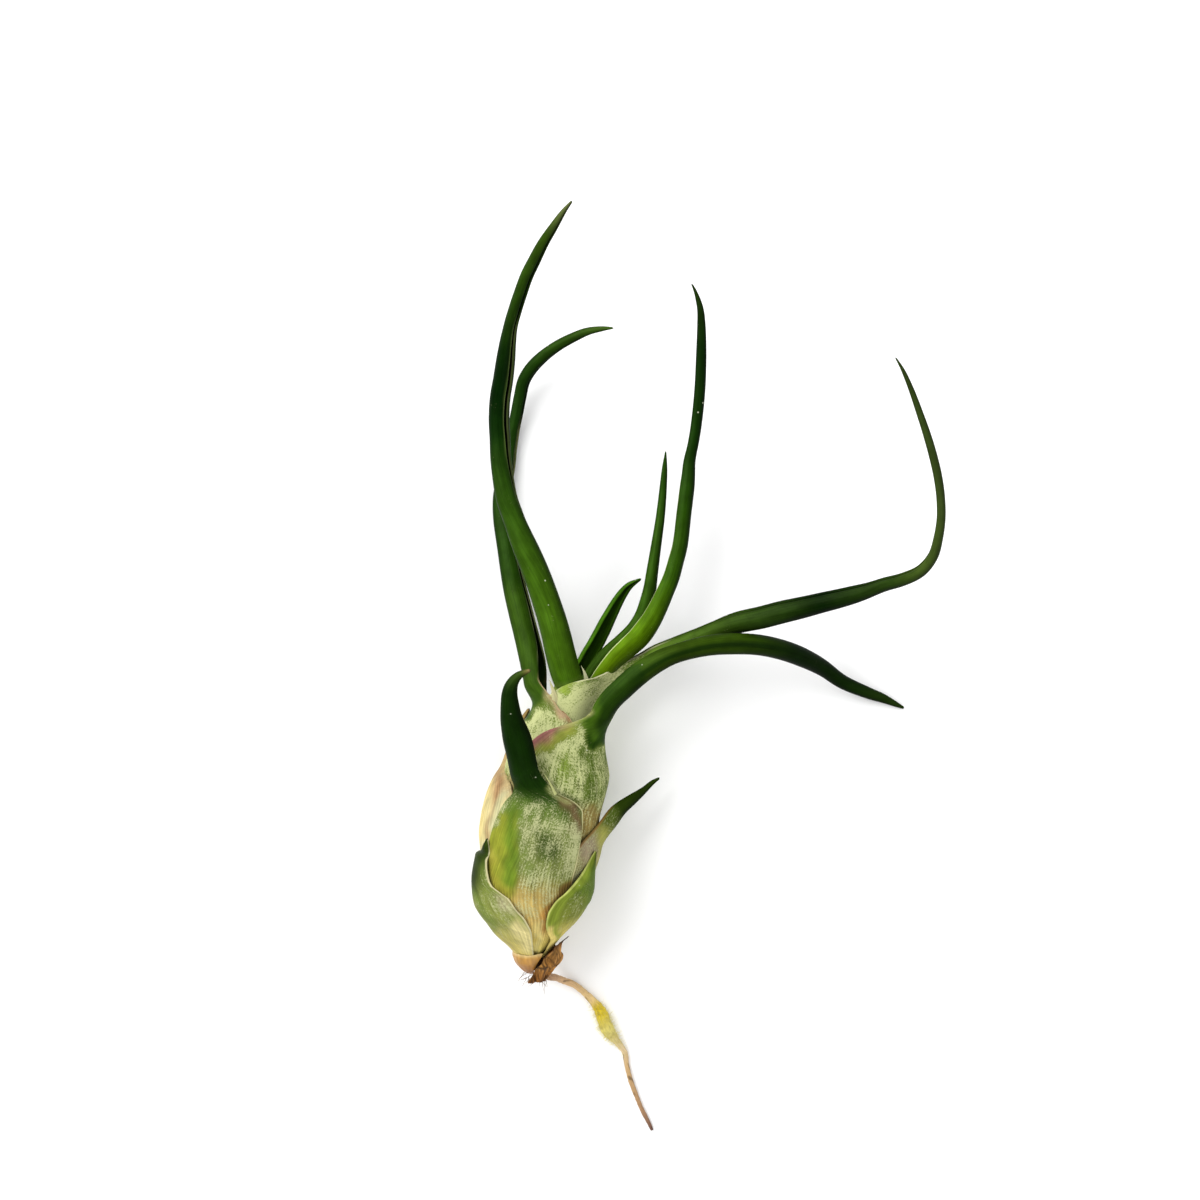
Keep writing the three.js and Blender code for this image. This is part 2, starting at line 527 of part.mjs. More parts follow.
/** A dead scale as a geometry: a piece of a leaf base whose far end is torn. */
function scaleGeometry(scale, pad = 0) {
  const [radius, left, right] = [track(scale.radius), track(scale.left), track(scale.right)];
  const rows = Array.from({ length: scale.rings + 1 }, (_, i) => {
    const row = (depth) =>
      scale.ends.map((end, j) => {
        const s = scale.from + ((end - scale.from) * i) / scale.rings;
        const angle = radians(left(s) + ((right(s) - left(s)) * j) / (scale.ends.length - 1));
        const crumple = scale.crumple * Math.sin(5 * angle + 1.3 * s);
        const frame = bulbFrame(s);
        return frame.centre.clone().addScaledVector(outward(frame, angle), radius(s) + crumple - depth);
      });
    return { outer: row(-pad), inner: row(SHEATH_THICK + pad) };
  });
  return skin(rows);
}

/** A closed skin over rows of points: outer faces, inner faces, both edges and both ends. */
function skin(rows, tip) {
  const positions = [];
  const faces = [];
  const index = (point) => positions.push(point.x, point.y, point.z) / 3 - 1;
  const rings = rows.map(({ outer, inner }) => [...outer, ...inner.reverse()].map(index));
  for (let i = 0; i + 1 < rings.length; i += 1) joinLoops(rings[i], rings[i + 1], faces);
  capLoop(rings[0], faces, false);
  if (tip) {
    const apex = index(tip);
    const loop = rings.at(-1);
    loop.forEach((v, j) => faces.push(v, loop[(j + 1) % loop.length], apex));
  } else {
    capLoop(rings.at(-1), faces, true);
  }
  const geometry = new THREE.BufferGeometry();
  geometry.setAttribute("position", new THREE.Float32BufferAttribute(positions, 3));
  geometry.setIndex(faces);
  return geometry;
}

/** Faces between two loops, each an outer row and then an inner row, the second loop no finer. */
function joinLoops(a, b, faces) {
  const half = (loop, inner) => (inner ? loop.slice(loop.length / 2) : loop.slice(0, loop.length / 2));
  for (const inner of [false, true]) {
    const [p, q] = [half(a, inner), half(b, inner)];
    const [n, m] = [p.length - 1, q.length - 1];
    let [i, j] = [0, 0];
    while (i < n || j < m) {
      if (j === m || (i < n && (i + 0.5) / n <= (j + 0.5) / m)) {
        faces.push(p[i], p[i + 1], q[j]);
        i += 1;
      } else {
        faces.push(p[i], q[j + 1], q[j]);
        j += 1;
      }
    }
  }
  const edge = (p, q, r, t) => faces.push(p, r, q, r, t, q);
  edge(a[a.length / 2 - 1], b[b.length / 2 - 1], a[a.length / 2], b[b.length / 2]);
  edge(a.at(-1), b.at(-1), a[0], b[0]);
}

/** Faces that close a loop made of an outer row and an inner row. */
function capLoop(loop, faces, far) {
  const last = loop.length - 1;
  for (let j = 0; j < loop.length / 2 - 1; j += 1) {
    const [a, b, c, d] = [loop[j], loop[j + 1], loop[last - j], loop[last - j - 1]];
    if (far) faces.push(a, b, c, b, d, c);
    else faces.push(a, c, b, b, c, d);
  }
}

// ---- Stem and root ------------------------------------------------------------------------

/** A closed round bar along a list of centres, with a radius for each. */
function bar(centres, radii, sides) {
  const positions = [];
  const faces = [];
  const index = (point) => positions.push(point.x, point.y, point.z) / 3 - 1;
  let out = new THREE.Vector3(0, 0, 1);
  const loops = centres.map((centre, i) => {
    const before = centres[Math.max(i - 1, 0)];
    const after = centres[Math.min(i + 1, centres.length - 1)];
    const along = after.clone().sub(before).normalize();
    out = out.clone().addScaledVector(along, -out.dot(along)).normalize();
    const side = along.clone().cross(out);
    return Array.from({ length: sides }, (_, j) => {
      const angle = (2 * Math.PI * j) / sides;
      const point = centre.clone().addScaledVector(out, radii[i] * Math.cos(angle));
      return index(point.addScaledVector(side, radii[i] * Math.sin(angle)));
    });
  });
  const next = (j) => (j + 1) % sides;
  for (let i = 0; i + 1 < loops.length; i += 1) {
    for (let j = 0; j < sides; j += 1) {
      const [a, b, c, d] = [loops[i][j], loops[i][next(j)], loops[i + 1][j], loops[i + 1][next(j)]];
      faces.push(a, b, c, b, d, c);
    }
  }
  for (let j = 1; j + 1 < sides; j += 1) {
    faces.push(loops[0][0], loops[0][j + 1], loops[0][j]);
    faces.push(loops.at(-1)[0], loops.at(-1)[j], loops.at(-1)[j + 1]);
  }
  const geometry = new THREE.BufferGeometry();
  geometry.setAttribute("position", new THREE.Float32BufferAttribute(positions, 3));
  geometry.setIndex(faces);
  return geometry;
}

/** The short woody stem that every leaf grows from, as a geometry made thicker by pad. */
function stemGeometry(pad = 0) {
  const places = [-1.2, -0.8, -0.4, 0.4, 3, 6, 9, 12, 14, 15.5, 16.5];
  const centres = places.map((s) => bulbFrame(s).centre);
  return bar(centres, places.map((s) => stemRadius(s) + pad), 8);
}

/** The root, which lies along the surface. */
function rootGeometry() {
  const curve = new THREE.CatmullRomCurve3(ROOT.spine.map((p) => new THREE.Vector3(...p)));
  const girth = track(ROOT.girth);
  const shares = Array.from({ length: ROOT.rings + 1 }, (_, i) => i / ROOT.rings);
  return bar(shares.map((share) => curve.getPointAt(share)), shares.map(girth), ROOT.sides);
}

// ---- Solids -------------------------------------------------------------------------------

/** A closed geometry as a solid that can be joined and cut. */
function solidOf(geometry) {
  const bare = new THREE.BufferGeometry();
  bare.setAttribute("position", geometry.getAttribute("position"));
  bare.setIndex(geometry.index);
  const merged = mergeVertices(bare, 1e-4);
  return new wasm.Manifold(
    new wasm.Mesh({
      numProp: 3,
      vertProperties: merged.attributes.position.array,
      triVerts: new Uint32Array(merged.index.array),
    }),
  );
}

/** The largest body of a solid, as a geometry. */
function geometryOf(solid) {
  const bodies = solid.decompose().sort((a, b) => b.volume() - a.volume());
  const { vertProperties, triVerts } = bodies[0].getMesh();
  const geometry = new THREE.BufferGeometry();
  geometry.setAttribute("position", new THREE.BufferAttribute(new Float32Array(vertProperties), 3));
  geometry.setIndex(new THREE.BufferAttribute(new Uint32Array(triVerts), 1));
  return geometry;
}

const underneath = solidOf(new THREE.BoxGeometry(400, 400, 40).translate(0, 0, -20));

// From the outside in. Each piece is cut clear of the surface it lies on, and of those before it.
const pieces = [
  { name: "stem", colour: 0x6b4a2c, make: stemGeometry },
  ...OLD_SCALES.map((scale) => ({ ...scale, make: (pad) => scaleGeometry(scale, pad) })),
  ...LEAVES.map((leaf) => ({ ...leaf, make: (pad) => leafGeometry(leaf, pad) })),
  { name: "root", colour: ROOT.colour, make: rootGeometry },
];

const plant = new THREE.Group();
const done = [];
for (const piece of pieces) {
  const solid = done.reduce((rest, other) => rest.subtract(other), solidOf(piece.make()));
  const material = new THREE.MeshStandardMaterial({ color: piece.colour, roughness: 0.5, metalness: 0 });
  const mesh = new THREE.Mesh(geometryOf(solid.subtract(underneath)), material);
  mesh.name = piece.name;
  plant.add(mesh);
  done.push(solidOf(piece.make(CLEARANCE)));
}

export default plant;
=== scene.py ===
"""A small bulbosa air plant on a white table, seen from straight above.

Every leaf is rebuilt from the same driving dimensions as the CAD part, in millimetres, as a fine
mesh with rounded edges, ribs and slow waves. Colour and the silvery scurf are painted on by rules
along and across each leaf, and broken up by procedural noise in the leaf material. Painted shade
darkens the flanks of the rolled blades and the grooves between ribs, and a painted highlight
lightens the crests that face the key light.
"""
import json
import math
import random

import bpy
import numpy as np
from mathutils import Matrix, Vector


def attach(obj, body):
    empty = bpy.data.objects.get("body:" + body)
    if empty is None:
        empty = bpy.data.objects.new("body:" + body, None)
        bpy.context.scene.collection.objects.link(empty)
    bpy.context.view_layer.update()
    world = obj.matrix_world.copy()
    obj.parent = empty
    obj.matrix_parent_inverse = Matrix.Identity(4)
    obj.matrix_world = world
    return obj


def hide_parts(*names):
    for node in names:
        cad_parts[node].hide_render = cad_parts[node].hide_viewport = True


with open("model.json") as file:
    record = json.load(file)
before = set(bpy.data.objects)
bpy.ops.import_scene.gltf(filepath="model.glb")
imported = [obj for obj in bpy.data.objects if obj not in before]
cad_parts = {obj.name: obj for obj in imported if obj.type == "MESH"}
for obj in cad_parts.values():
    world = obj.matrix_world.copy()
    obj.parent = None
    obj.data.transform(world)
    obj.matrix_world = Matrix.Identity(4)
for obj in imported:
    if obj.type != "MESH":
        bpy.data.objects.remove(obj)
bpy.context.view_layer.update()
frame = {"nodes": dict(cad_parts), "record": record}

MM = 0.001

# ---- Driving dimensions, as in the CAD part (millimetres and degrees) ----------------------

SHEATH_THICK = 0.6
BLADE_THICK = 0.7
GAP = 0.2
LAYER = SHEATH_THICK + GAP
BULB_START = -13.9
FADE = 3.0  # a leaf base stops covering from this far before its end to this far past it
FADE_ANGLE = 36.0  # and over this angle past its margins
OUTER_LAYERS = 2  # deeper leaf bases cover all round

# ---- Fine shape ----------------------------------------------------------------------------

CLOSED_ROLL = 177.5  # a blade rolled this far has its margins almost together
RIB_PITCH = 0.62
RIB_FULL = 0.07  # height of the ribs at which they show fully in the skin, in the scurf and the painted shade
WAVE_HEIGHT = 0.05  # slow waves in the skin of a leaf
EDGE_ROUND = 0.22  # width over which an edge rounds off
EDGE_DROP = 0.16  # how far it rounds off
EDGE_TAPER = 1.5  # width over which a wall thins towards its edge
EDGE_THICK = 0.26  # wall at the edge
EDGE_LEAST = 0.08  # least wall anywhere
FULL_WIDTH = 6.0  # a narrower leaf has a shorter taper
RELIEF_MARGIN = 1.2  # width over which waves and ribs grow from an edge
TUCK_SLOPE = 0.5  # how steeply a leaf base turns in below its start, into the dry scales
SHEATH_ROW = 0.4  # length of the faces along a leaf base
BLADE_ROW = 0.5  # and along a blade
PART_GAP = 0.4  # from the last row of a leaf base to the first of its blade
BLADE_COLUMNS = 30
BLADE_CORE = 0.15  # share of the girth that the wall of a blade leaves free
CLOSING = 40.0  # degrees of roll over which a blade with a closed seam closes
CLOSER_TO_TIP = 1.15  # above 1, the rows of a blade lie closer together towards its tip

GRAIN_SEED, SWELL_SEED, RIB_SEED = 31, 11, 51
LEAF_SHIFT = 7.0  # keeps the noise patterns of two leaves apart

# ---- Light and colour ----------------------------------------------------------------------

LIGHT_LEVEL = 1.3  # light on an upward surface: a white one would look this much brighter than white
INNER_SHADE = np.array([0.75, 0.8, 0.7])  # the inner face of a leaf against its outer face
INNER_SCURF = 0.6
FLANK_SHADE = 0.3  # painted shade: colour of the flanks of a rolled blade, against its stops
BACK_SHADE = 0.84
CREST_LIGHT = 0.36  # painted highlight: how much lighter the crest of its back is
PAINTED_LIGHT_WAY = np.array([-0.35, 0.25, 0.9])  # the way to the key light: a place that faces it gets the painted highlight, one turned away the painted shade
PAINTED_SHEEN_AMOUNT = 0.012  # how much pale painted sheen lies on the crest
CREST_FROM, CREST_TO = 0.84, 0.98  # how squarely a place faces that way, from the edge to the crest
BACK_FROM, BACK_TO = 0.1, 0.85  # and from the flank to the back
SHADE_FROM, SHADE_TO = 0.9, 1.05  # progress over which the painted highlight and shade come in
# colour of the painted sheen on the crests
PAINTED_SHEEN_COLOUR = (204, 218, 160)
SPECK = (214, 220, 190)
MARK_FADE = 0.06  # progress over which a mark starts and ends
MARK_WOBBLE = 0.3  # how far at most the outline of a mark in plan wanders, in mm
MARGIN_WAVER = 0.25  # how much the width of a mark along an edge varies
SMOOTHING = 0.85  # how much a smooth mark flattens the ribs
FLANK_FADE = 4.0  # height over which a mark in plan fades out down the flanks


def track(values):
    """A smooth function through a table of values by place, which never overshoots them."""
    place, value = np.array(list(values.items()), float).T
    rise = np.diff(value) / np.diff(place)
    slope = np.zeros(len(place))
    slope[0], slope[-1] = rise[0], rise[-1]
    for i in range(1, len(place) - 1):
        before, after = rise[i - 1], rise[i]
        if before * after > 0:
            slope[i] = 2 * before * after / (before + after)

    def at(x):
        x = np.clip(np.asarray(x, float), place[0], place[-1])
        i = np.clip(np.searchsorted(place, x, side="left") - 1, 0, len(place) - 2)
        span = place[i + 1] - place[i]
        u = (x - place[i]) / span
        u2, u3 = u * u, u * u * u
        return (
            (2 * u3 - 3 * u2 + 1) * value[i]
            + (u3 - 2 * u2 + u) * slope[i] * span
            + (3 * u2 - 2 * u3) * value[i + 1]
            + (u3 - u2) * slope[i + 1] * span
        )

    return at


AXIS_X = track({
    0: -0.7, 3: -0.9, 6: -1.05, 9: -1.05, 11: -0.9, 14.8: -0.2, 22: 0.9, 24.5: 1.55, 27: 2.15,
    29.4: 2.6, 32: 3.2, 35.2: 3.95, 38: 4.8, 42: 6.1,
})
AXIS_Z = track({0: 7.6, 6: 8.3, 11: 8.87, 24: 8.9, 33: 9.7, 42: 10.6})
BULB_RADIUS = track({
    0: 2.2, 2: 3, 3: 3.75, 4.1: 4.8, 5: 5.65, 6.3: 6.65, 7.6: 7.6, 8.8: 8.3, 10: 8.7, 12: 9,
    20.5: 9.05, 24: 8.7, 26.5: 8.3, 29.4: 7.85, 32.3: 6.75, 35.2: 5.6, 38: 4.8, 41: 4.3, 44: 4.1,
})
STEM_RADIUS = track({-1.2: 0.5, -0.5: 1, 0.4: 1.4, 3: 1.6, 9: 1.4, 14: 1.1, 16.5: 0.5})

# ---- The leaves, from the outermost in -----------------------------------------------------

# Shape: a leaf base lies on its layer of the bulb between its left and right margins, given as
# angles by distance along the axis, and blends into the blade between the places in blend. The
# blade follows its spine, rolled by roll degrees to each side, with girth, roll and twist by share
# of its length, where girth is the radius. tuck, columns, span, step and close set its fine mesh,
# its grain and its seam.
# Looks, by progress from 0 at the root of the leaf base over 1, where it has become the blade, to
# 2 at the blade's tip: colours are display colours under the scurf, scurf is how thick the silvery
# scales lie, ribs is how far the ribs stand out in mm. A mark is a line or an area in plan on the
# upward side, in mm, a band along an edge on a side, or one at a share of the width across. It
# fades over its width or soft, reaches depth below the axis and keeps to the progress in between.
LEAVES = [dict(
    name="leaf_01_short_outer_left", layer=0, end=16, blend=(14.8, 14, 18.2), facing=-74,
    left={2: -205, 12: -204, 15: -200, 18.2: -160},
    right={2: 4, 5.8: 3, 8.7: -4, 9.8: -13, 10.6: -20, 11: -29, 11.5: -40, 12: -44, 13.6: -51, 15.9: -54,
           18.2: -48},
    spine=[(-6, -0.9, 11.6), (-6.5, 1, 12.3), (-6.9, 2.8, 13.2), (-7, 4.9, 14.4)],
    girth={0: 2.4, 0.4: 1.7, 0.8: 0.85, 1: 0.25},
    roll={0: 70, 1: 100}, tuck=1.1, columns=100, span=26,
    colours={0: (226, 204, 116), 0.12: (206, 190, 108), 0.4: (142, 148, 74), 0.7: (108, 128, 52),
             1: (88, 112, 36), 2: (74, 98, 28)},
    scurf={0: 0.25, 0.3: 0.5, 0.75: 0.5, 1: 0.25, 2: 0.1}, ribs={0: 0.02, 0.5: 0.012, 2: 0.004},
    marks=[
        dict(line=[(-7.2, 4.6), (-8.1, 3), (-9.2, 0.8), (-9.8, -2.3)], width=2.7, depth=8,
             colour=(38, 54, 4), scurf=0),
        dict(line=[(-8.8, -3.4), (-7.8, -5.6), (-6.2, -8)], width=1.5, depth=7, colour=(98, 122, 40),
             strength=0.6, scurf=0.35),
        dict(area=[(-5.6, -2.6), (-3.8, -3.2), (-3.2, -6), (-4.6, -5)], soft=1.4, colour=(186, 172, 138),
             strength=0.7, scurf=0.6),
        dict(line=[(-2.6, -7.6), (-1.4, -9.6), (-1, -11)], width=2.2, colour=(236, 222, 156),
             strength=0.9, scurf=0.15),
        dict(side="right", width=0.2, colour=(222, 214, 166), scurf=0.1),
    ],
), dict(
    name="leaf_02_short_outer_right", layer=0, end=15, blend=(13, 12.5, 15.8), facing=68,
    left={2: 42, 3.6: 40, 5.7: 25, 8.2: 18, 9.4: 19, 10.4: 23, 11.5: 30, 13.5: 40, 15.8: 54},
    right={2: 148, 10: 150, 13: 135, 15.8: 100},
    spine=[(5.4, -2.6, 11.5), (6.4, -0.7, 12), (7.4, 1.1, 12.5), (8.3, 3, 13)],
    girth={0: 2.2, 0.4: 1.5, 0.8: 0.75, 1: 0.25},
    roll={0: 70, 1: 100}, tuck=1.1, columns=100, span=20,
    colours={0: (226, 200, 104), 0.28: (200, 184, 96), 0.5: (130, 138, 56), 0.8: (92, 114, 38),
             1: (90, 116, 36), 2: (84, 110, 34)},
    scurf={0: 0.3, 0.4: 0.44, 0.8: 0.36, 1: 0.16, 2: 0.05}, ribs={0: 0.02, 0.6: 0.012, 2: 0.004},
    marks=[
        dict(side="left", width=1.6, colour=(134, 152, 52), strength=0.85, scurf=0.1),
        dict(side="left", width=1.2, between=(0, 0.4), colour=(226, 206, 120), scurf=0.08),
        dict(side="left", width=0.24, between=(0.35, 2), colour=(190, 198, 108)),
        dict(line=[(7, -6.6), (8.6, -3.6), (9.6, -0.6)], width=1.6, colour=(84, 108, 34), strength=0.8,
             scurf=0.25),
    ],
), dict(
    name="leaf_03_claw_front", layer=1, end=26, blend=(21.5, 25.5, 29.5), facing=-36,
    left={2: -80, 9: -78, 14: -64, 16.1: -57, 19.9: -50, 21.5: -46, 22.8: -43, 24.7: -38, 29.5: -62},
    right={2: 62, 8: 60, 11: 50, 13: 44, 15.2: 41, 21.6: 41, 24: 39, 25.2: 31, 25.9: 21, 26.2: 14,
           26.8: 8, 28.1: 2, 29.5: 0},
    spine=[(-0.9, 6.6, 14.4), (-1, 9.6, 15.7), (-1.1, 12.6, 17), (-1.5, 15.2, 18.1), (-2.1, 17.9, 19.3),
           (-2.7, 20.1, 20.3), (-3.3, 22.5, 21.6), (-3.5, 24.5, 22.8), (-3.5, 26.1, 23.5),
           (-3.1, 27.5, 24.2), (-2.2, 28.6, 24.7), (-0.5, 29.4, 25)],
    girth={0: 2.9, 0.15: 2.6, 0.3: 2.34, 0.42: 2.2, 0.53: 2.08, 0.6: 1.84, 0.7: 1.45, 0.77: 1.23,
           0.84: 1, 0.9: 0.72, 0.96: 0.42, 1: 0.2},
    roll={0: 75, 0.4: 100, 0.6: 125, 1: 140}, twist={0: 0, 1: 10}, tuck=1.1, columns=150, span=22,
    step=0.25,
    colours={0: (226, 212, 112), 0.12: (220, 196, 106), 0.25: (222, 190, 110), 0.36: (186, 162, 92),
             0.46: (120, 130, 66), 0.66: (118, 130, 68), 0.76: (94, 114, 48), 0.84: (50, 76, 20),
             0.92: (24, 52, 7), 1.2: (17, 43, 4), 1.75: (20, 46, 5), 1.92: (48, 70, 16),
             1.965: (110, 106, 54), 2: (160, 138, 92)},
    scurf={0: 0.1, 0.12: 0.35, 0.3: 0.54, 0.5: 0.6, 0.68: 0.68, 0.78: 0.56, 0.86: 0.28, 0.94: 0.06,
           1.2: 0.02, 2: 0.02},
    ribs={0: 0.02, 0.1: 0.05, 0.4: 0.055, 0.52: 0.02, 0.8: 0.008, 2: 0.002},
    marks=[
        dict(area=[(0, 6.2), (2.8, 5.9), (3.4, 3.6), (2.6, 1.8), (0, 2.4)], soft=2.4, colour=(54, 74, 24),
             strength=0.8, scurf=0.46),
        dict(area=[(-1.8, 9.8), (2.4, 10.2), (3.9, 8.4), (1, 7.6), (-2, 7.8)], soft=1.8, scurf=0.62),
        dict(area=[(-2.7, 9), (-2.9, 5.1), (-2.7, 0.9), (-3.4, -2.4), (-5.2, -2.7), (-6.6, -1), (-7, 0.9),
                   (-6.6, 5), (-5.4, 8.4)], soft=1.1, colour=(146, 152, 50), scurf=0.08, smooth=True),
        dict(line=[(-3.3, 8.8), (-3.6, 5), (-3.5, 1), (-3.9, -1.8)], width=2, colour=(98, 126, 36),
             strength=0.9, scurf=0.12),
        dict(line=[(-6.6, 3), (-6.6, 0.2), (-5.4, -2.2), (-4, -2.8)], width=1.7, colour=(166, 160, 60),
             strength=0.8, scurf=0.06),
        dict(line=[(-1.5, 4.4), (-1.1, 1.6), (-0.7, -1)], width=1.3, colour=(96, 116, 52), strength=0.5,
             scurf=0.5),
        dict(side="left", width=0.24, between=(0, 0.75), colour=(222, 216, 164), scurf=0.1),
        dict(line=[(4.1, 10.5), (5, 9.6), (5.8, 7.9), (5.8, 6.2)], width=1.5, colour=(112, 88, 62),
             strength=0.85, scurf=0.3),
        dict(line=[(1.5, 13), (2.4, 11.6), (3.6, 10.7), (4.4, 10.1)], width=0.7, colour=(168, 174, 104),
             strength=0.5, scurf=0.55),
        dict(line=[(5.2, 6.4), (5.4, 3.8), (5.2, 1.6)], width=1.8, scurf=0.68),
        dict(side="right", width=0.28, between=(0.05, 0.86), colour=(208, 204, 150), scurf=0.1),
        # a dark brown line along the right side, next to the short outer right leaf: painted shade in the
        # gap between the two leaves
        dict(line=[(5.2, -0.9), (4, -2.2), (2.8, -4), (1.5, -5.7), (0.7, -8.1)], width=0.95,
             colour=(92, 60, 26), strength=0.8, scurf=0.05),
        dict(area=[(0.9, -5.2), (1.6, -4.6), (2.2, -4.8), (1.8, -7), (0.9, -9.4), (-0.1, -8.4)], soft=1,
             colour=(206, 150, 74), strength=0.6, scurf=0.35),
        dict(line=[(-0.4, -11.6), (0.4, -9.8), (0.2, -7.6)], width=1.1, colour=(230, 214, 138),
             strength=0.7, scurf=0.3),
    ],
), dict(
    name="leaf_04_short_right", layer=2, end=19, blend=(19, 16.5, 22), facing=92,
    left={3: 35, 12: 38, 17: 40, 19.2: 48, 20.4: 57, 22: 74},
    right={3: 150, 14: 150, 19: 135, 22: 115},
    spine=[(6.7, 2.2, 9.3), (7.6, 3.6, 9.2), (8.4, 5, 9), (9.3, 6.3, 8.7), (10.3, 7.5, 8.3),
           (11.7, 8.7, 7.8), (13.4, 9.8, 7.2), (15.2, 11, 6.4), (16.7, 12.2, 5.6), (17.8, 12.8, 5)],
    girth={0: 2.9, 0.16: 2.6, 0.3: 2.15, 0.4: 1.8, 0.52: 1.36, 0.67: 0.96, 0.8: 0.62, 0.92: 0.4, 1: 0.2},
    roll={0: 75, 0.4: 110, 1: 140}, twist={0: 0, 1: -20}, columns=84, span=22,
    colours={0: (166, 156, 96), 0.6: (152, 142, 88), 0.85: (128, 132, 66), 0.96: (86, 104, 34),
             1.1: (50, 70, 12), 1.4: (38, 56, 8), 1.8: (42, 62, 9), 2: (50, 70, 16)},
    scurf={0: 0.4, 0.6: 0.6, 0.9: 0.55, 1: 0.32, 1.08: 0.1, 1.2: 0.03, 2: 0.02},
    ribs={0: 0.02, 1: 0.015, 1.2: 0.003, 2: 0.002},
    marks=[
        dict(area=[(6.2, 4.8), (8.6, 5.4), (8.8, 1.6), (6.6, 0.8)], soft=1.6, colour=(168, 150, 126),
             strength=0.8, scurf=0.45),
        dict(line=[(9.4, 5.6), (9.6, 3), (8.9, 0.4)], width=1.4, colour=(166, 164, 82), strength=0.8,
             scurf=0.2),
        dict(side="left", width=0.3, between=(0.3, 1), colour=(150, 112, 62), strength=0.7, scurf=0.1),
    ],
), dict(
    name="leaf_05_pale_left", layer=2, end=26, blend=(23, 25.5, 30), facing=-118,
    left={3: -200, 18: -198, 24: -180, 30: -150},
    right={3: -36, 22: -36, 25: -44, 27: -58, 30: -88},
    spine=[(-4.9, 8.8, 5.4), (-4.6, 12.2, 4.7), (-4, 15.6, 4.2), (-3.2, 18.6, 4.1), (-2.4, 21, 4.3),
           (-1.4, 23, 4.5)],
    girth={0: 2.1, 0.3: 1.5, 0.6: 1, 0.85: 0.6, 1: 0.25},
    roll={0: 75, 0.4: 110, 1: 140}, columns=90, span=24,
    colours={0: (228, 218, 150), 0.5: (226, 216, 156), 0.8: (208, 190, 136), 1: (180, 152, 100),
             2: (150, 124, 76)},
    scurf={0: 0.2, 0.5: 0.4, 1: 0.3, 2: 0.1}, ribs={0: 0.02, 1: 0.02, 2: 0.01},
    marks=[
        dict(line=[(-5.9, 13.8), (-5.5, 11.6)], width=2.2, colour=(172, 130, 94), strength=0.6),
        dict(line=[(-5.4, 13), (-5.9, 10.8), (-6.6, 8), (-7.2, 4.9)], width=0.9, colour=(162, 120, 80),
             strength=0.6, scurf=0.15),
        dict(line=[(-7.6, 12.6), (-8.4, 9.4), (-8.9, 5)], width=1.6, colour=(234, 210, 134), strength=0.7,
             scurf=0.15),
        dict(line=[(-4.8, 11), (-5.5, 8.9), (-6.5, 6.5)], width=1.2, colour=(210, 210, 162),
             strength=0.7),
    ],
), dict(
    name="leaf_06_arching_right", layer=3, end=32.5, blend=(35, 30, 37), facing=52,
    left={4: -62, 24: -60, 29: -50, 31.5: -42, 32.9: -35, 34.2: -24, 35.4: -7, 36.2: 4, 37: 14},
    right={4: 172, 24: 168, 29: 145, 32: 122, 37: 96},
    spine=[(6.2, 13.2, 12), (7.4, 16.6, 13.2), (8.2, 19.4, 14.3), (9.2, 23.2, 15.6), (10.5, 25.2, 16.4),
           (12, 26.6, 17), (13.7, 28.1, 17.6), (15.6, 29.5, 18), (17.5, 30.6, 18.1), (19.4, 31.4, 18),
           (22.7, 32.3, 17.3), (25.3, 32.7, 16.5), (28, 32.8, 15.5), (31.6, 32.6, 13.7),
           (35.3, 31.8, 11), (38.6, 30.6, 8.1), (41.8, 29, 5.2), (45.1, 26.8, 2.8), (49.1, 25.1, 1.25),
           (51.3, 24.3, 0.8), (54.6, 22.8, 0.35)],
    girth={0: 1.9, 0.12: 1.85, 0.18: 1.9, 0.26: 1.8, 0.32: 1.62, 0.38: 1.4, 0.44: 1.48, 0.5: 1.56,
           0.58: 1.52, 0.68: 1.46, 0.74: 1.34, 0.8: 1.15, 0.87: 1, 0.93: 0.8, 0.97: 0.5, 1: 0.2},
    roll={0: 85, 0.15: 110, 0.4: 155, 1: 160}, twist={0: 0, 0.3: 10, 1: 20}, columns=130, span=26,
    step=0.3,
    colours={0: (160, 144, 84), 0.3: (132, 134, 64), 0.5: (108, 122, 52), 0.7: (104, 122, 50),
             0.93: (110, 130, 54), 0.975: (88, 116, 34), 1: (60, 92, 16), 1.1: (56, 86, 12),
             1.25: (51, 74, 10), 1.4: (57, 84, 13), 1.6: (15, 42, 3), 1.85: (20, 42, 5),
             2: (36, 56, 12)},
    scurf={0: 0.48, 0.5: 0.64, 0.7: 0.68, 0.88: 0.76, 0.95: 0.7, 0.985: 0.3, 1: 0.06, 1.2: 0.03,
           2: 0.02},
    ribs={0: 0.02, 0.45: 0.045, 0.75: 0.035, 0.9: 0.01, 1: 0.003, 2: 0.002},
    marks=[
        dict(area=[(5.4, 9.6), (10.4, 10), (10.4, 3), (5.4, 3)], soft=2.4, colour=(156, 128, 74),
             strength=0.75, scurf=0.45),
        dict(area=[(3.2, 17.6), (5, 18.4), (5.6, 14.8), (3.6, 13)], soft=1.8, colour=(118, 138, 56),
             scurf=0.52),
        dict(line=[(7.2, 18.4), (7.7, 15), (7.7, 10.5)], width=1.5, colour=(74, 96, 26), strength=0.7,
             scurf=0.46),
        dict(area=[(2.4, 19.2), (6.4, 21.6), (6.5, 18.6), (3, 17.2)], soft=1.6, scurf=0.85),
        dict(area=[(8.8, 27.6), (8.3, 23.6), (7, 21.9), (6.8, 19.5), (7.4, 17.9), (8.3, 17.4),
                   (9.4, 18.2), (12, 17.6), (15, 22), (15, 30), (9, 30)], soft=0.5, colour=(36, 64, 8),
             scurf=0.02),
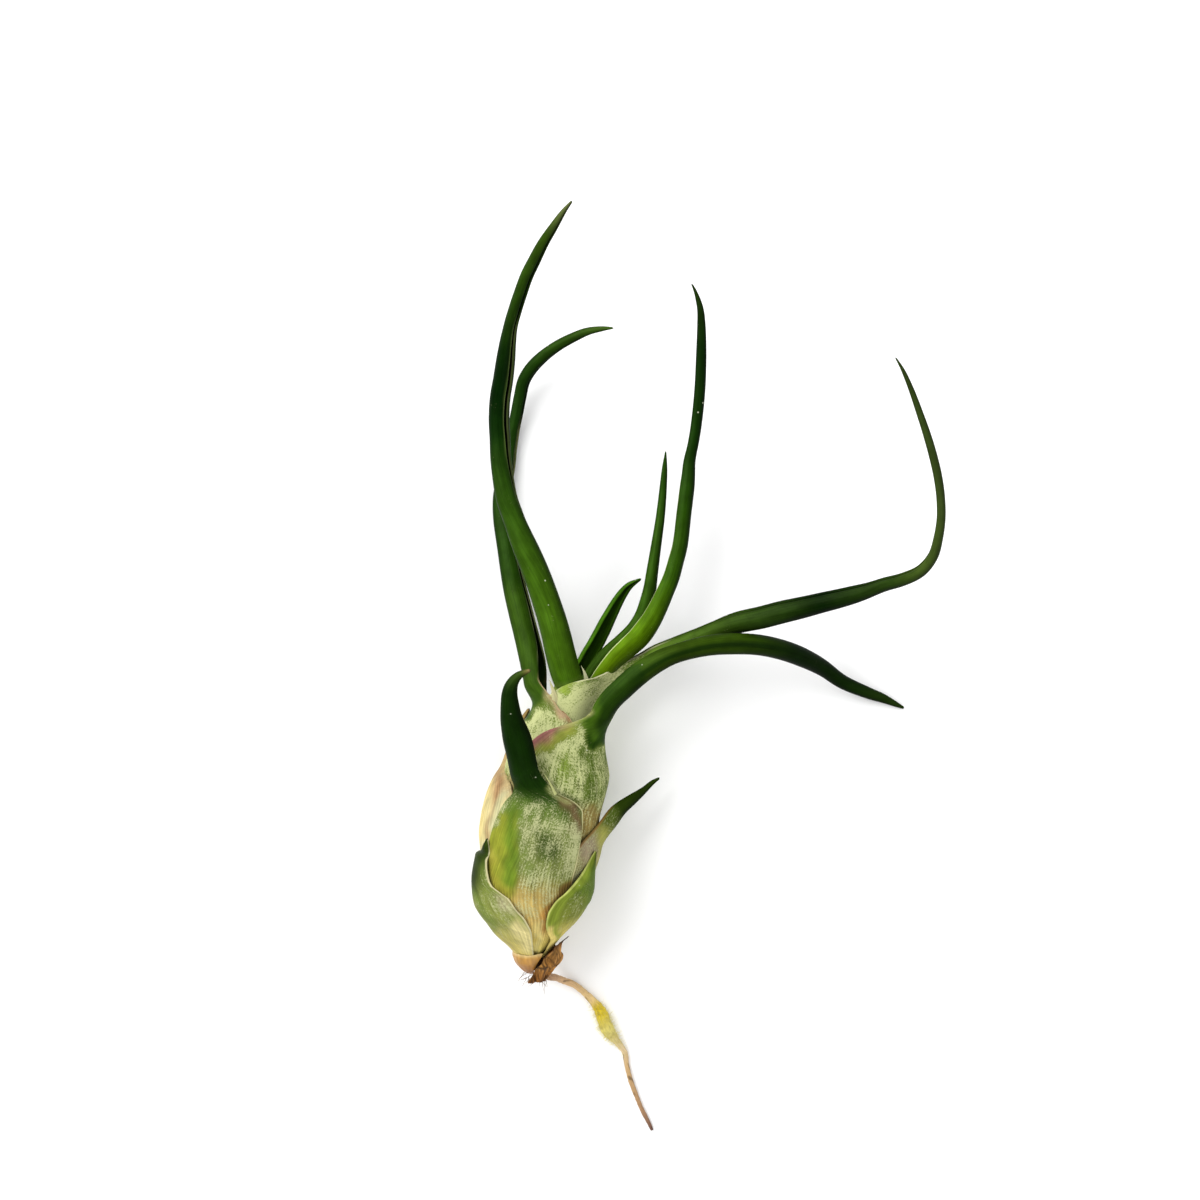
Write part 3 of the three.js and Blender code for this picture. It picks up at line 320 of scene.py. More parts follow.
        dict(line=[(8.8, 27), (7.9, 22.8), (7.8, 19.6)], width=1.3, colour=(72, 106, 22), strength=0.8,
             scurf=0.02),
        # a dark band on the lower flank of the blade: painted shade
        dict(across=0.72, width=0.2, between=(0.9, 1.75), colour=(16, 38, 4)),
        # a thin light line along the blade: painted highlight
        dict(across=0.545, width=0.035, between=(0.94, 1.3), colour=(96, 124, 48)),
        # a dark band along the upper edge of the blade: painted shade
        dict(across=0.28, width=0.1, between=(1.1, 1.8), colour=(20, 44, 5)),
        dict(line=[(0.6, 18), (3, 19.5), (5.2, 20.8)], width=1.7, colour=(152, 158, 66), strength=0.85,
             scurf=0.16),
        dict(line=[(-4.4, 8.6), (-3.5, 12.4), (-2.6, 15.2), (-1.6, 17.6)], width=1.5, depth=8,
             colour=(172, 152, 106), strength=0.8, scurf=0.35),
        dict(line=[(-2.2, 16.4), (-1, 18.9), (0.6, 19.7), (2.2, 20.7), (3.4, 21.5)], width=1.9, depth=8,
             colour=(162, 102, 100), strength=0.95, scurf=0.1),
        # darker along the right edge of the leaf base: painted shade, with a little less scurf
        dict(line=[(9.6, 17), (10.1, 13.4), (9.6, 9.6)], width=1.9, colour=(84, 102, 38), strength=0.7,
             scurf=0.57),
        dict(line=[(3.6, 21.4), (5.2, 22), (7.2, 23.1)], width=1.1, colour=(186, 182, 116), strength=0.8,
             scurf=0.5),
    ],
), dict(
    name="leaf_07_long_low_left", layer=4, end=39, blend=(30, 37.5, 41), facing=-76,
    left={5: -196, 28: -190, 34: -172, 41: -140},
    right={5: 44, 28: 40, 33: 30, 35.4: 18, 36.8: 4, 37.1: -8, 37.5: -19, 38.5: -34, 39.8: -52, 41: -64},
    spine=[(1.4, 17.6, 9.8), (0.9, 21, 9.5), (0.35, 24.4, 9), (-0.2, 27.4, 8.1), (-1.5, 32.6, 6.2),
           (-2.7, 37.2, 5), (-3.9, 42, 3.8), (-4.8, 46.9, 2.6), (-5.5, 51.2, 1.65), (-5.6, 54.2, 1.35),
           (-5.2, 57.2, 1.2), (-4.7, 59.6, 1.1), (-4.3, 62.2, 1.15), (-3.9, 64.6, 1.4),
           (-3.4, 66.8, 1.8), (-2.9, 69.2, 2.4), (-2.3, 71.5, 3.3), (-1, 73.4, 4.5), (0.7, 74.9, 5.7),
           (2.7, 76.2, 6.9), (4.8, 77.2, 7.9), (7.2, 78.1, 8.7), (9.6, 78.4, 9.5), (11, 78.4, 10)],
    girth={0: 2.2, 0.1: 2.1, 0.16: 1.98, 0.24: 1.84, 0.3: 1.8, 0.38: 1.6, 0.44: 1.5, 0.52: 1.4,
           0.58: 1.22, 0.63: 1, 0.7: 0.95, 0.8: 0.96, 0.86: 0.86, 0.92: 0.72, 0.97: 0.45, 1: 0.16},
    roll={0: 85, 0.12: 105, 0.3: 150, 1: 160}, twist={0: 0, 0.2: -40, 1: -40}, columns=110, span=24,
    step=0.3, close=(96, 0.6),
    colours={0: (160, 158, 88), 0.8: (116, 132, 56), 0.92: (112, 132, 50), 0.97: (80, 110, 28),
             1: (46, 74, 10), 1.2: (34, 64, 6), 1.4: (30, 60, 7), 1.7: (24, 56, 8), 1.9: (38, 66, 9),
             2: (60, 86, 26)},
    scurf={0: 0.56, 0.8: 0.82, 0.92: 0.76, 0.97: 0.3, 1: 0.1, 1.2: 0.04, 2: 0.03},
    ribs={0: 0.01, 0.8: 0.01, 1: 0.004, 2: 0.002},
    marks=[
        dict(area=[(-1.6, 21.8), (-0.9, 22.2), (0.3, 24), (1.5, 26.2), (1.9, 28), (-3, 28), (-4, 23)],
             soft=1, depth=6, colour=(54, 84, 14), scurf=0.03),
        dict(across=0.4, width=0.95, between=(0.86, 1.2), colour=(54, 84, 14), scurf=0.03),
        dict(line=[(1.9, 27.2), (2.3, 25.3), (2.9, 23.8), (3.7, 22.9), (4.6, 22.3)], width=1.5,
             colour=(204, 170, 136), strength=0.85, scurf=0.35),
        dict(line=[(4, 23.2), (4.6, 22)], width=0.9, colour=(146, 96, 54), scurf=0.05),
        dict(side="right", width=0.2, between=(0.7, 0.96), colour=(214, 186, 142), scurf=0.05),
        dict(side="both", width=0.14, between=(1.02, 1.6), colour=(176, 188, 120), scurf=0),
    ],
), dict(
    name="leaf_08_long_rising_right", layer=5, end=60, blend=(42, 37, 44.5), facing=104,
    left={6: -76, 33: -72, 38: -62, 39: -46, 40.1: -31, 41.2: -12, 41.8: 5, 42.2: 36, 42.6: 64,
          44.5: 80},
    right={6: 250, 28: 240, 34: 210, 38: 190, 44.5: 165},
    spine=[(5.6, 20, 9.8), (7, 23, 9.2), (8.8, 25.4, 8.8), (10.5, 27, 8.7), (12.6, 28.2, 8.9),
           (14.8, 29.4, 9.3), (17.1, 31, 9.9), (20, 32.3, 10.4), (23.2, 33.6, 11.1), (26, 34.8, 12.4),
           (28.9, 35.8, 13.7), (32, 36.5, 15.1), (34.9, 37.3, 16.4), (37.7, 38, 18.1),
           (40.3, 38.7, 20.1), (43, 39.4, 22), (45.6, 40.2, 24.1), (47.9, 41.1, 26.2),
           (50.1, 41.8, 28.7), (52.1, 42.9, 31.2), (53.3, 44.8, 33.8), (53.6, 47.1, 36.2),
           (53.6, 49.7, 38.4), (53.2, 52.3, 40.4), (52.5, 54.9, 42.4), (51.6, 57.4, 44.2),
           (50.5, 60, 46.1), (49.3, 62.6, 47.8), (48, 65.3, 49.5), (46.7, 67.6, 51), (45.6, 69.1, 52)],
    girth={0: 2.2, 0.06: 2.1, 0.14: 1.6, 0.2: 1.4, 0.27: 1.36, 0.31: 1.58, 0.37: 1.64, 0.44: 1.48,
           0.5: 1.3, 0.55: 1, 0.62: 0.86, 0.68: 0.7, 0.75: 0.6, 0.84: 0.56, 0.92: 0.44, 0.97: 0.3,
           1: 0.12},
    roll={0: 85, 0.08: 92, 0.2: 140, 1: 160}, twist={0: 0, 0.4: 20, 1: 40}, columns=96, span=22, step=0.3,
    close=(96, 1),
    colours={0: (160, 164, 92), 0.85: (118, 136, 56), 0.93: (124, 146, 56), 1: (90, 118, 36),
             1.07: (66, 94, 22), 1.2: (42, 66, 14), 1.35: (8, 30, 2), 1.5: (44, 68, 18),
             1.58: (76, 98, 36), 1.7: (74, 94, 40), 2: (56, 74, 28)},
    scurf={0: 0.56, 0.85: 0.89, 0.96: 0.7, 1.02: 0.12, 1.1: 0.04, 2: 0.03},
    ribs={0: 0.01, 0.9: 0.01, 1: 0.004, 2: 0.002},
    marks=[
        dict(side="left", width=0.3, between=(0.6, 1), colour=(226, 224, 178), scurf=0.2),
        dict(line=[(4, 26.4), (5, 28.2)], width=1.6, colour=(150, 172, 70), scurf=0.35),
    ],
), dict(
    name="leaf_09_long_upright", layer=6, end=60, blend=(36.5, 36.5, 42.5), facing=-18,
    left={8: -130, 34: -112, 42.5: -100},
    right={8: 95, 34: 72, 42.5: 60},
    spine=[(4.2, 21, 11), (4.7, 24, 11.2), (4.8, 26.4, 11.7), (4.3, 28.4, 12.6), (3.4, 31.3, 13.9),
           (2.7, 34.2, 14.6), (1.9, 37.1, 14.9), (0.1, 42.4, 15.5), (-2.2, 47.9, 16.1),
           (-3.3, 50.8, 16.4), (-4.2, 53.4, 16.8), (-4.7, 56.2, 17.2), (-5, 58.9, 17.6),
           (-5.1, 61.7, 18.1), (-5.2, 64.6, 18.8), (-5, 67.3, 19.7), (-4.5, 69.9, 20.9),
           (-4.1, 72.2, 22.5), (-3.7, 74.5, 24.3), (-3.2, 76.6, 26.3), (-2.5, 78.5, 28.3),
           (-1.7, 80.4, 30.3), (-0.8, 82.4, 32.2), (0.3, 84.2, 34.1), (1.5, 86.1, 36), (2.9, 87.9, 37.8),
           (4.3, 89.7, 39.3), (5.4, 90.9, 40)],
    girth={0: 2.3, 0.1: 2.33, 0.14: 2.18, 0.2: 2.05, 0.27: 1.93, 0.32: 1.84, 0.38: 1.6, 0.44: 1.53,
           0.5: 1.48, 0.6: 1.46, 0.66: 1.36, 0.7: 1.16, 0.735: 0.99, 0.8: 0.93, 0.87: 0.85, 0.92: 0.7,
           0.96: 0.5, 1: 0.16},
    roll={0: 80, 0.09: 88, 0.16: 125, 0.3: 155, 1: 164},
    twist={0: 0, 0.2: -10, 0.4: -70, 0.55: -112, 1: -118}, columns=60, span=18, close=(120, 0.5),
    colours={0: (190, 200, 130), 0.9: (150, 170, 80), 1: (72, 110, 16), 1.15: (64, 100, 14),
             1.35: (48, 82, 14), 1.48: (14, 44, 4), 1.56: (5, 33, 2), 1.66: (14, 42, 3),
             1.78: (44, 76, 10), 1.92: (50, 76, 12), 2: (96, 104, 60)},
    scurf={0: 0.3, 1: 0.08, 2: 0.03}, ribs={0: 0.01, 1: 0.004, 2: 0.002},
    marks=[
        dict(side="both", width=0.24, between=(1.3, 1.7), colour=(108, 138, 62), strength=0.75),
        dict(side="both", width=0.1, between=(1.1, 1.68), colour=(138, 152, 92), scurf=0.05),
    ],
), dict(
    name="leaf_10_bright_upright", layer=7, end=60, blend=(35, 35, 41.5), facing=66,
    left={9: -20, 30: -10, 41.5: -30},
    right={9: 178, 30: 172, 41.5: 160},
    spine=[(5, 20, 10.2), (6.2, 23.4, 10.2), (7.6, 26.4, 10.3), (9.2, 29, 10.6), (11, 31, 10.8),
           (12.6, 32.3, 10.8), (14.4, 33.8, 10.5), (16, 35.8, 10.2), (17.2, 37.9, 9.9), (18.2, 40, 9.6),
           (19.2, 42.3, 9.4), (19.9, 44.7, 9.1), (20.5, 47, 9), (21.1, 51.9, 9), (21.7, 56.8, 9),
           (21.9, 59.2, 9.1), (22.4, 61.6, 9.4), (22.8, 64, 9.8), (23.3, 68.8, 10.8), (23.5, 73.6, 11.9),
           (23.5, 78.3, 13.2), (23.3, 80.6, 14.1), (22.6, 82.9, 14.7), (22, 84.1, 15)],
    girth={0: 1.9, 0.12: 1.95, 0.2: 1.94, 0.25: 1.88, 0.29: 1.7, 0.35: 1.48, 0.42: 1.33, 0.5: 1.25,
           0.57: 1.24, 0.61: 1.1, 0.66: 0.94, 0.76: 0.9, 0.84: 0.84, 0.9: 0.7, 0.95: 0.5, 1: 0.14},
    roll={0: 85, 0.14: 92, 0.28: 130, 1: 158}, twist={0: 0, 0.5: 10, 1: 30}, columns=60, span=18,
    colours={0: (200, 210, 140), 0.85: (176, 196, 84), 1: (108, 144, 12), 1.15: (86, 124, 6),
             1.3: (48, 84, 5), 1.6: (22, 54, 5), 1.85: (14, 42, 5), 2: (34, 56, 12)},
    scurf={0: 0.2, 1: 0.06, 2: 0.02}, ribs={0: 0.01, 1: 0.004, 2: 0.002},
    marks=[
        dict(side="left", width=0.16, between=(0.9, 1.5), colour=(214, 222, 160), scurf=0.1),
    ],
), dict(
    name="leaf_11_slim_upright", layer=8, facing=66,
    spine=[(1.7, 4.6, 8.9), (3, 14, 9.4), (4.6, 20, 9.8), (5.7, 24, 9.4), (7.2, 27.6, 8.7),
           (9.4, 30.6, 7.8), (12.3, 33.2, 6.9), (13.9, 34.8, 6.6), (15.1, 36.7, 6.5), (15.8, 38.7, 6.7),
           (16.3, 40.8, 6.9), (16.6, 42.9, 7), (17.2, 47, 7.3), (17.8, 51.2, 7.7), (18.2, 55.4, 8.4),
           (18.4, 58.5, 9.2), (18.5, 60.6, 10)],
    girth={0: 0.8, 0.3: 0.95, 0.5: 1.12, 0.6: 1.12, 0.7: 0.92, 0.8: 0.74, 0.88: 0.62, 0.95: 0.45,
           1: 0.13},
    roll={0: 110, 0.4: 130, 1: 155}, span=6,
    colours={1: (150, 172, 82), 1.4: (66, 102, 22), 1.6: (56, 94, 16), 2: (34, 68, 12)},
    scurf={1: 0.1, 1.5: 0.03, 2: 0.02}, ribs={1: 0.004, 2: 0.002},
    marks=[
        dict(side="both", width=0.12, between=(1.4, 1.8), colour=(150, 170, 96)),
    ],
), dict(
    name="leaf_12_young_centre", layer=8, facing=190,
    spine=[(-0.4, 5, 8.6), (1.2, 15, 8.6), (2.6, 20, 8.4), (3.9, 24, 7.9), (6, 28.3, 7),
           (7.3, 30.8, 6.6), (8.2, 32.3, 6.5), (9, 33.8, 6.5), (10.3, 36.4, 6.8), (11.7, 39, 7.3),
           (12.5, 40.2, 7.7), (13.3, 41.1, 8.3), (15, 42.1, 9.5)],
    girth={0: 0.8, 0.4: 1.05, 0.68: 1.2, 0.76: 1.16, 0.82: 1.02, 0.88: 0.84, 0.94: 0.58, 1: 0.15},
    roll={0: 110, 0.5: 125, 1: 150}, span=6,
    colours={1: (150, 172, 82), 1.5: (104, 158, 30), 1.7: (80, 136, 20), 2: (52, 94, 12)},
    scurf={1: 0.1, 1.5: 0.03, 2: 0.02}, ribs={1: 0.004, 2: 0.002},
)]

# ---- Dry scales, root and small details ----------------------------------------------------

OLD_SCALES = [dict(
    name="old_scale_tan", start=-1.6, crumple=0, folds=0.05, tear=0.05, fibres=0.3, lean=0.16,
    radius={-1.6: 0.95, -1.16: 1.7, -0.1: 2.55, 1: 2.9, 2: 3.1},
    left={-1.6: -170, 2: -150}, right={-1.6: 0, 0.3: 12, 1.8: 32},
    ends=[1.2, 1.6, 1.8, 1.9, 1.95, 1.9, 1.85, 1.95, 1.9, 1.8, 1.85, 1.9, 1.85],
    colours={0: (160, 104, 46), 0.4: (178, 124, 50), 0.85: (198, 148, 68), 1: (230, 202, 134)},
), dict(
    name="old_scale_brown", start=-2.7, crumple=0.24, folds=0.34, tear=0.5, fibres=1, lean=0,
    radius={-2.7: 1.8, -1.2: 2.6, 0: 3.6, 1.75: 3.95, 2.8: 4.5, 4: 5.4},
    left={-2.7: -20, -1: 4, 0.3: 16, 1.8: 36, 4: 44}, right={-2.7: 170, 4: 165},
    ends=[1.6, 2.7, 3.7, 3.1, 2.6, 2.9, 1.4, 1.7, 0.7, 1.6, 1.1, 2, 1.2],
    colours={0: (146, 92, 36), 0.4: (188, 130, 60), 0.8: (202, 146, 74), 1: (128, 80, 34)},
)]

ROOT = dict(
    spine=[(0.2, -15.4, 7.1), (0.9, -16.1, 6), (1.6, -16.7, 4.4), (2.4, -17.2, 2.6), (3.5, -17.9, 1.1),
           (5.3, -18.7, 0.5), (7.5, -20.6, 0.45), (9, -22.7, 0.6), (10.2, -25.3, 0.85),
           (11.7, -27.3, 0.65), (12.7, -28.7, 0.45), (13, -30.6, 0.45), (13.8, -33.6, 0.45),
           (15, -36.6, 0.4), (16.8, -40.4, 0.35)],
    girth={0: 0.8, 0.08: 0.55, 0.3: 0.46, 0.38: 0.62, 0.46: 0.95, 0.52: 0.9, 0.58: 0.56, 0.64: 0.4,
           0.85: 0.34, 0.95: 0.3, 1: 0.25},
    colours={0: (160, 120, 82), 0.14: (194, 156, 120), 0.24: (234, 194, 144), 0.37: (238, 206, 142),
             0.41: (226, 198, 36), 0.45: (232, 208, 54), 0.52: (240, 228, 136), 0.62: (232, 208, 164),
             0.7: (212, 176, 124), 0.88: (182, 142, 102), 1: (116, 82, 70)},
)
ROOT_JOINT = 0.5  # share of the root's length round which the hairs of its swollen joint grow
JOINT_MIDDLE, JOINT_HALF = 0.49, 0.08  # the part of the root with no dark spots, round that joint
SCALE_THICK = 0.42
SCALE_THINNING = 0.3  # how much thinner a dry scale is at its torn end
SCALE_INNER = [0.6, 0.6, 0.6, 1]  # its inner face against its outer face

# Pointed corners of leaf margins: base, tip and half width, in mm.
MARGIN_TIPS = [
    dict(name="margin_tip_low_left", slot="dark_leaf", base=(2.75, 23.9, 13.75), tip=(1.75, 27.6, 13.9),
         width=0.62, colour=(206, 200, 150)),
    dict(name="margin_tip_claw", slot="pale_leaf", base=(2.75, 11.5, 17.62), tip=(0.8, 14.9, 17.9),
         width=0.22, colour=(196, 200, 134)),
    dict(name="margin_knot_low_left", slot="dark_leaf", base=(3.3, 23.6, 13.95), tip=(4.9, 21.7, 14.6),
         width=0.5, colour=(176, 126, 88)),
    dict(name="margin_tip_rising", slot="dark_leaf", base=(7.1, 27.2, 13.3), tip=(6.3, 29.6, 13.6),
         width=0.4, colour=(222, 222, 176)),
]

# ---- Geometry ------------------------------------------------------------------------------

UP = np.array([0.0, 0.0, 1.0])


def smooth(x):
    x = np.clip(x, 0, 1)
    return x * x * (3 - 2 * x)


def ease(x, low, high):
    """From 0 at a low value to 1 at a high one, with soft ends."""
    return smooth((x - low) / (high - low))


def unit(v):
    return v / np.linalg.norm(v, axis=-1, keepdims=True)


def rows_at(at, places, rows):
    """Rows of an array, read at and between the places of its samples."""
    return np.stack([np.interp(at, places, column) for column in rows.T], -1)


def carried(way, alongs):
    """A direction carried along a curve, square to it and with no turn about it."""
    ways = []
    for along in alongs:
        way = way - along * way.dot(along)
        way = way / np.linalg.norm(way)
        ways.append(way)
    return np.array(ways)


def ring(centre, out, side, turn, radius):
    """Points at a radius round a centre, turned from the way out towards the side."""
    turn = turn[..., None]
    return centre + radius[..., None] * (out * np.cos(turn) + side * np.sin(turn))


def bulb_frame(s):
    """Centres, right and up directions of the bulb's axis at distances s along it."""
    def point(t):
        return np.stack([AXIS_X(t), BULB_START + np.asarray(t, float), AXIS_Z(t)], -1)
    along = unit(point(s + 0.5) - point(s - 0.5))
    right = unit(np.cross(along, UP))
    return point(s), right, np.cross(right, along)


COVERS = [
    {**leaf, "left": track(leaf["left"]), "right": track(leaf["right"])}
    for leaf in LEAVES
    if "blend" in leaf
]


def cover(outer, s, angle):
    """How far a leaf base covers a place on the bulb, from 1 on it to 0 past its end and edges."""
    along = 1 - smooth((s - outer["end"] + FADE) / (2 * FADE))
    if outer["layer"] >= OUTER_LAYERS:
        return along + 0 * angle
    low, high = outer["left"](s), outer["right"](s)
    past = np.minimum.reduce([
        np.maximum(low - angle - turn, angle + turn - high) for turn in (-360, 0, 360)
    ])
    return along * (1 - smooth(past / FADE_ANGLE))


def layer_radius(layer, s, angle):
    """The outer radius of a nested layer: each layer that covers it takes one step."""
    steps = 0
    for outer in range(layer):
        steps = steps + np.maximum.reduce([cover(c, s, angle) for c in COVERS if c["layer"] == outer])
    return BULB_RADIUS(s) - LAYER * steps


def sheath_start(leaf):
    """Where a leaf base leaves the stem, at the middle of its width."""
    left, right = track(leaf["left"]), track(leaf["right"])
    s = 2.1
    while layer_radius(leaf["layer"], s, (left(s) + right(s)) / 2) - SHEATH_THICK < STEM_RADIUS(s) + GAP:
        s += 0.1
    return s


def spine_curve(points, samples=2400):
    """Points along a centripetal Catmull-Rom curve and their distances along it."""
    p = np.array(points, float)
    p = np.vstack([2 * p[0] - p[1], p, 2 * p[-1] - p[-2]])
    spans = len(points) - 1
    where = np.linspace(0, spans, samples)
    i = np.minimum(where.astype(int), spans - 1)
    u = (where - i)[:, None]
    near = [p[i + k] for k in range(4)]
    p0, p1, p2, p3 = near
    d0, d1, d2 = (np.sqrt(np.linalg.norm(b - a, axis=1))[:, None] for a, b in zip(near, near[1:]))
    t1 = ((p1 - p0) / d0 - (p2 - p0) / (d0 + d1) + (p2 - p1) / d1) * d1
    t2 = ((p2 - p1) / d1 - (p3 - p1) / (d1 + d2) + (p3 - p2) / d2) * d1
    u2, u3 = u * u, u * u * u
    curve = (
        (2 * u3 - 3 * u2 + 1) * p1 + (u3 - 2 * u2 + u) * t1 + (3 * u2 - 2 * u3) * p2 + (u3 - u2) * t2
    )
    gone = np.concatenate([[0], np.cumsum(np.linalg.norm(np.diff(curve, axis=0), axis=1))])
    return curve, gone


class LeafSurface:
    """The skin of a leaf: a leaf base on the bulb that blends into a rolled blade."""

    def __init__(self, leaf):
        self.leaf = leaf
        self.points, gone = spine_curve(leaf["spine"])
        self.length, self.share = gone[-1], gone / gone[-1]
        along = unit(np.gradient(self.points, gone, axis=0))
        _, right, up = bulb_frame(np.array([leaf["spine"][0][1] - BULB_START]))
        facing = math.radians(leaf["facing"])
        back = carried(up[0] * math.cos(facing) + right[0] * math.sin(facing), along)
        turn = np.radians(track(leaf.get("twist", {0: 0, 1: 0}))(self.share))[:, None]
        self.back = back * np.cos(turn) + np.cross(along, back) * np.sin(turn)
        self.side = np.cross(along, self.back)
        self.girth, self.roll = track(leaf["girth"]), track(leaf["roll"])
        if "blend" in leaf:
            self.left, self.right = track(leaf["left"]), track(leaf["right"])

    def share_at(self, y):
        """The share of the blade's length at which its centre line passes y."""
        return np.interp(y, np.maximum.accumulate(self.points[:, 1]), self.share)

    def parts(self):
        """The rows of the leaf base and of the blade, with the places of their columns."""
        leaf, parts = self.leaf, []
        self.reach = 0.0
        if "blend" in leaf:
            self.start = sheath_start(leaf)
            first, to = self.start - leaf.get("tuck", 0), leaf["blend"][2]
            rows = np.linspace(first, to, int((to - first) / leaf.get("step", SHEATH_ROW)) + 2)[:-1]
            parts.append(("sheath", rows, spread(leaf["columns"])))
            self.reach = self.share_at(BULB_START + to)
        count = int((1 - self.reach) * self.length / BLADE_ROW) + 6
        t = np.linspace(0, 1, count + 1)[:-1]
        rows = self.reach + (1 - self.reach) * (1 - (1 - t) ** CLOSER_TO_TIP)
        parts.append(("blade", rows, spread(BLADE_COLUMNS)))
        return parts

    def blade_points(self, share, across, depth):
        """Points of the rolled blade, at a depth under its skin."""
        centre, back, side = (
            rows_at(share, self.share, rows)[:, None] for rows in (self.points, self.back, self.side)
        )
        girth, roll = self.girth(share)[:, None], self.roll(share)[:, None]
        begin, part = self.leaf.get("close", (120, 0))
        roll = roll + part * (CLOSED_ROLL - roll) * smooth((roll - begin) / CLOSING)
        radius = np.maximum(girth - depth, BLADE_CORE * girth)
        return ring(centre, back, side, np.radians((2 * across - 1) * roll), radius)

    def sheath_points(self, s, across, depth):
        """Points of the leaf base on its layer of the bulb, blended into the blade."""
        centre, right, up = (way[:, None] for way in bulb_frame(s))
        rolled = self.blade_points(self.share_at(BULB_START + s), across, depth)
        s = s[:, None]
        low, high = self.left(s), self.right(s)
        angle = low + (high - low) * across
        tuck = TUCK_SLOPE * np.maximum(0, self.start - s)
        radius = layer_radius(self.leaf["layer"], s, angle) - tuck - depth
        points = ring(centre, up, right, np.radians(angle), radius)
        from_left, from_right, to = self.leaf["blend"]
        begin = from_left + (from_right - from_left) * across
        weight = smooth((s - begin) / (to - begin))[..., None]
        return points * (1 - weight) + rolled * weight


# ---- Noise and colour ----------------------------------------------------------------------


def waves(x, y, seed, count=7):
    """A slow random surface between about -1 and 1, from a few sine waves of seeded direction."""
    rng = random.Random(seed)
    total = 0
    for _ in range(count):
        turn = rng.uniform(0, 2 * math.pi)
        pitch = rng.uniform(0.6, 1.7)
        total = total + np.sin(pitch * (x * math.cos(turn) + y * math.sin(turn)) + rng.uniform(0, 6.3))
    return total / math.sqrt(count)


def mixed(colour, other, weight):
    weight = np.clip(weight, 0, 1)[..., None]
    return colour * (1 - weight) + np.array(other, float) * weight


def pigment(rgb):
    """The surface colour that looks like a display colour, 0 to 255, under the studio lights."""
    c = np.asarray(rgb, float) / 255
    return np.where(c <= 0.04045, c / 12.92, ((c + 0.055) / 1.055) ** 2.4) / LIGHT_LEVEL


def colour_at(at, stops):
    """Surface colours between stops of place and display colour."""
    return rows_at(at, list(stops), pigment(list(stops.values())))


def level_at(at, stops):
    return np.interp(at, list(stops), list(stops.values()))


def opaque(colour):
    return np.concatenate([colour, np.ones(colour.shape[:-1] + (1,))], -1)


def plan_distance(x, y, points, closed):
    """Distance in plan from each place to a line through points, below zero inside a closed one."""
    points = np.array(points, float)
    nearest, inside = np.full(x.shape, np.inf), np.zeros(x.shape, bool)
    for a, b in zip(points, np.roll(points, -1, axis=0) if closed else points[1:]):
        d = b - a
        share = np.clip(((x - a[0]) * d[0] + (y - a[1]) * d[1]) / d.dot(d), 0, 1)
        nearest = np.minimum(nearest, np.hypot(x - a[0] - share * d[0], y - a[1] - share * d[1]))
        if closed and d[1] != 0:
            inside ^= ((a[1] > y) != (b[1] > y)) & (x < a[0] + (y - a[1]) * d[0] / d[1])
    return np.where(inside, -nearest, nearest)


# ---- Meshes --------------------------------------------------------------------------------


def mesh_object(name, points, faces, grain=None, skin=None, tint=None, scurf=None, ribbed=None):
    """A smooth mesh from points in millimetres, with the attributes that its material reads."""
    mesh = bpy.data.meshes.new(name)
    mesh.from_pydata((np.asarray(points) * MM).tolist(), [], faces)
    for key, kind, field, values in (
        ("grain", "FLOAT_VECTOR", "vector", grain),
        ("skin", "FLOAT_VECTOR", "vector", skin),
        ("tint", "FLOAT_COLOR", "color", tint),
        ("scurf", "FLOAT", "value", scurf),
        ("ribbed", "FLOAT", "value", ribbed),
    ):
        if values is not None:
            data = mesh.attributes.new(key, kind, "POINT").data
            data.foreach_set(field, np.asarray(values, np.float32).ravel())
    mesh.shade_smooth()
    mesh.validate()
    thing = bpy.data.objects.new(name, mesh)
    bpy.context.scene.collection.objects.link(thing)
    return thing


def even_look(points, colour, scurf):
    """One colour and thickness of scurf for every point of a small detail, with no ribs."""
    count = len(points)
    tint = np.broadcast_to([*pigment(colour), 1.0], (count, 4))
    return {"tint": tint, "scurf": np.full(count, scurf), "ribbed": np.zeros(count)}


def both_faces(outside, inside):
    """Values of closed loops, each out along the outer face and back along the inner one."""
    return np.concatenate([outside, inside[:, ::-1]], axis=1).reshape(-1, *outside.shape[2:])


def loop_numbers(rows, size, first=0):
    """The point numbers of each closed loop."""
    return [list(range(first + i * size, first + (i + 1) * size)) for i in range(rows)]


def strip(a, b):
    """Faces between two loops of point numbers, the second with no more points than the first."""
    faces = []
    if len(a) == len(b):
        for j in range(len(a)):
            k = (j + 1) % len(a)
            faces.append((a[j], a[k], b[k], b[j]))
        return faces
    n, m = len(a), len(b)
    for p, q in ((a[: n // 2], b[: m // 2]), (a[n // 2 :], b[m // 2 :])):
        i = j = 0
        last_p, last_q = len(p) - 1, len(q) - 1
        while i < last_p or j < last_q:
            if j == last_q or (i < last_p and (i + 0.5) / last_p <= (j + 0.5) / last_q):
                faces.append((p[i], p[i + 1], q[j]))
                i += 1
            else:
                faces.append((p[i], q[j + 1], q[j]))
                j += 1
    faces.append((a[n // 2 - 1], a[n // 2], b[m // 2], b[m // 2 - 1]))
    faces.append((a[-1], a[0], b[0], b[-1]))
    return faces


def loft_faces(loops, apex=None):
    """Faces over loops of point numbers, closed at the start and at the end or in an apex."""
    faces = []
    for a, b in zip(loops, loops[1:]):
        faces += strip(a, b)
    first, last = loops[0], loops[-1]
    for j in range(len(first) // 2 - 1):
        faces.append((first[j], first[-1 - j], first[-2 - j], first[j + 1]))
    if apex is None:
        for j in range(len(last) // 2 - 1):
            faces.append((last[j], last[j + 1], last[-2 - j], last[-1 - j]))
    else:
        for j in range(len(last)):
            faces.append((last[j], last[(j + 1) % len(last)], apex))
    return faces


